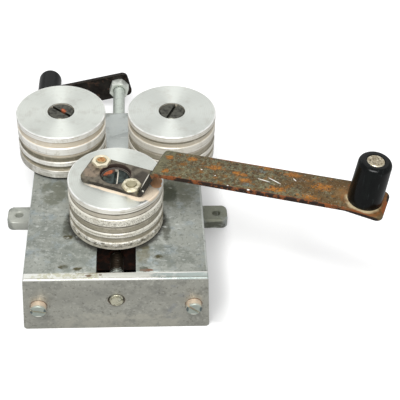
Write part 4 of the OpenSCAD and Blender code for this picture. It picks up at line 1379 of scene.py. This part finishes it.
@dataclass
class Studio:
    """The white floor, the soft light and the camera at the photograph's viewing angle."""

    floor_size: float = 12.0
    floor_glow: float = 0.2
    shaded: tuple[tuple[float, float], tuple[float, float]] = ((-55.0, -98.0), (55.0, 66.0))
    shaded_height: float = 0.2
    eye: Point = (13.417, -539.421, 505.903)
    pitch: float = 41.833
    yaw: float = 5.051
    roll: float = 2.910
    lens: float = 87.534
    film: float = 36.0
    sky: float = 0.49
    lamps: tuple[Lamp, ...] = (
        Lamp("back_softbox", (0.0, 1.15, 1.0), (0.0, 0.0, 0.06), (2.0, 1.0), 0.5),
        Lamp("top_strip", (0.0, 0.4, 1.3), (0.0, 0.0, 0.06), (0.3, 0.6), 1.2),
        Lamp("front_key", (-0.05, -0.78, 1.12), (0.0, 0.0, 0.06), (0.8, 0.4), 15.0),
    )

    def build(self) -> None:
        """Make the floor, the light and the camera."""
        self.make_world()
        self.make_floor()
        for lamp in self.lamps:
            self.hang(lamp)
        self.make_camera()
        bpy.context.scene.view_settings.view_transform = "Standard"

    def make_world(self) -> None:
        """Fill the room with an even grey light."""
        world = bpy.data.worlds.new("studio")
        world.use_nodes = True
        world.node_tree.nodes.clear()
        glow = add_node(world.node_tree, "ShaderNodeBackground", {
            "Color": linear("FFFFFF"), "Strength": self.sky})
        add_node(world.node_tree, "ShaderNodeOutputWorld", {"Surface": glow})
        bpy.context.scene.world = world

    def make_floor(self) -> None:
        """Lay a white sweep that glows a little, and a dark sheet under the hollow base as painted
        shade.
        """
        paper, shade, even = "F8F8F8", "696969", 3000
        sweep = Surface("white_sweep", Place(), paper, 0.9, 0.0)
        # The lamps leave no shade on a floor that glows, so the photograph's soft shade along the
        # right of the base is painted, with its ends cut off in front of the base and behind it.
        sweep.stain(Stain(shade, even, (0.25, 0.55), 0.6, zones=(
            Zone((64, 0, 0), (47, ENDLESS, 60), 1),)))
        sweep.stain(Stain(paper, even, (0, 0.3), zones=(
            Zone((80, -200, 0), (300, 105, 60), 0.2), Zone((151, -170, 0), (300, 125, 60), 0.5, 51),
            Zone((80, 165, 0), (300, 105, 60), 0.2))))
        # The faint shade of the crank is painted too.
        sweep.stain(Stain(shade, even, (0, 0.5), 0.25, zones=(
            Zone((205, -66, 0), (140, 28, 60), 1, -26),)))
        white = sweep.done(Emission_Color=linear("FFFFFF"), Emission_Strength=self.floor_glow,
                           Specular_IOR_Level=0.0)
        half = self.floor_size / 2
        self.lay("floor", (-half, -half), (half, half), 0.0, white)
        # The dark sheet under the hollow base is painted shade, where the bench lies in shadow.
        bench = Surface("shaded_bench", Place(), "120B06", 0.9, 0.0).done(Specular_IOR_Level=0.0)
        low, high = (metres((*corner, 0))[:2] for corner in self.shaded)
        self.lay("shaded_bench", low, high, self.shaded_height * MM, bench)

    @staticmethod
    def lay(name: str, low: Sequence[float], high: Sequence[float], height: float,
            material: Material) -> None:
        """Lay one flat sheet on the stage.

        Args:
            name: Its name.
            low: Its left front corner, in metres.
            high: Its right back corner, in metres.
            height: Its height, in metres.
            material: Its finish.
        """
        mesh = bpy.data.meshes.new(name)
        corners = [(low[0], low[1]), (high[0], low[1]), (high[0], high[1]), (low[0], high[1])]
        mesh.from_pydata([(*corner, height) for corner in corners], [], [(0, 1, 2, 3)])
        mesh.materials.append(material)
        sheet = put(name, mesh)
        # The photograph's bench was darker than this floor, so no light comes back off it.
        sheet.visible_diffuse = False
        sheet.visible_glossy = False

    @staticmethod
    def hang(lamp: Lamp) -> None:
        """Hang one softbox.

        Args:
            lamp: The softbox.
        """
        data = bpy.data.lights.new(lamp.name, "AREA")
        data.shape = "RECTANGLE"
        data.size, data.size_y = lamp.size
        data.energy = math.pi * lamp.size[0] * lamp.size[1] * lamp.glow
        box = put(lamp.name, data)
        box.location = lamp.at
        aim = Vector(lamp.aim) - Vector(lamp.at)
        box.rotation_euler = aim.to_track_quat("-Z", "Y").to_euler()
        box.visible_camera = False

    def make_camera(self) -> None:
        """Set the camera where the photograph was taken from."""
        data = bpy.data.cameras.new("camera")
        data.lens = self.lens
        data.sensor_width = self.film
        camera = put("camera", data)
        pitch, yaw = math.radians(self.pitch), math.radians(self.yaw)
        ahead = Vector((math.sin(yaw) * math.cos(pitch), math.cos(yaw) * math.cos(pitch),
                        -math.sin(pitch)))
        level = ahead.to_track_quat("-Z", "Y").to_matrix()
        turned = level @ Matrix.Rotation(math.radians(self.roll), 3, "Z")
        camera.matrix_world = Matrix.Translation(metres(self.eye)) @ turned.to_4x4()
        bpy.context.scene.camera = camera


def main() -> None:
    """Load the frame, and build every sub-assembly and the studio."""
    logging.basicConfig(level=logging.INFO, format="%(message)s")
    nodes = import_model()["nodes"]
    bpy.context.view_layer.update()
    plastic = MouldedPhenolic().make()
    base = Base(nodes)
    base.build()
    Rollers(nodes).build()
    Carriage(nodes, base.zinc).build()
    LeadScrew(nodes).build()
    AdjustingCrank(nodes, base.zinc, plastic).build()
    DriveCrank(nodes, plastic).build()
    Studio().build()


if __name__ == "__main__":
    main()
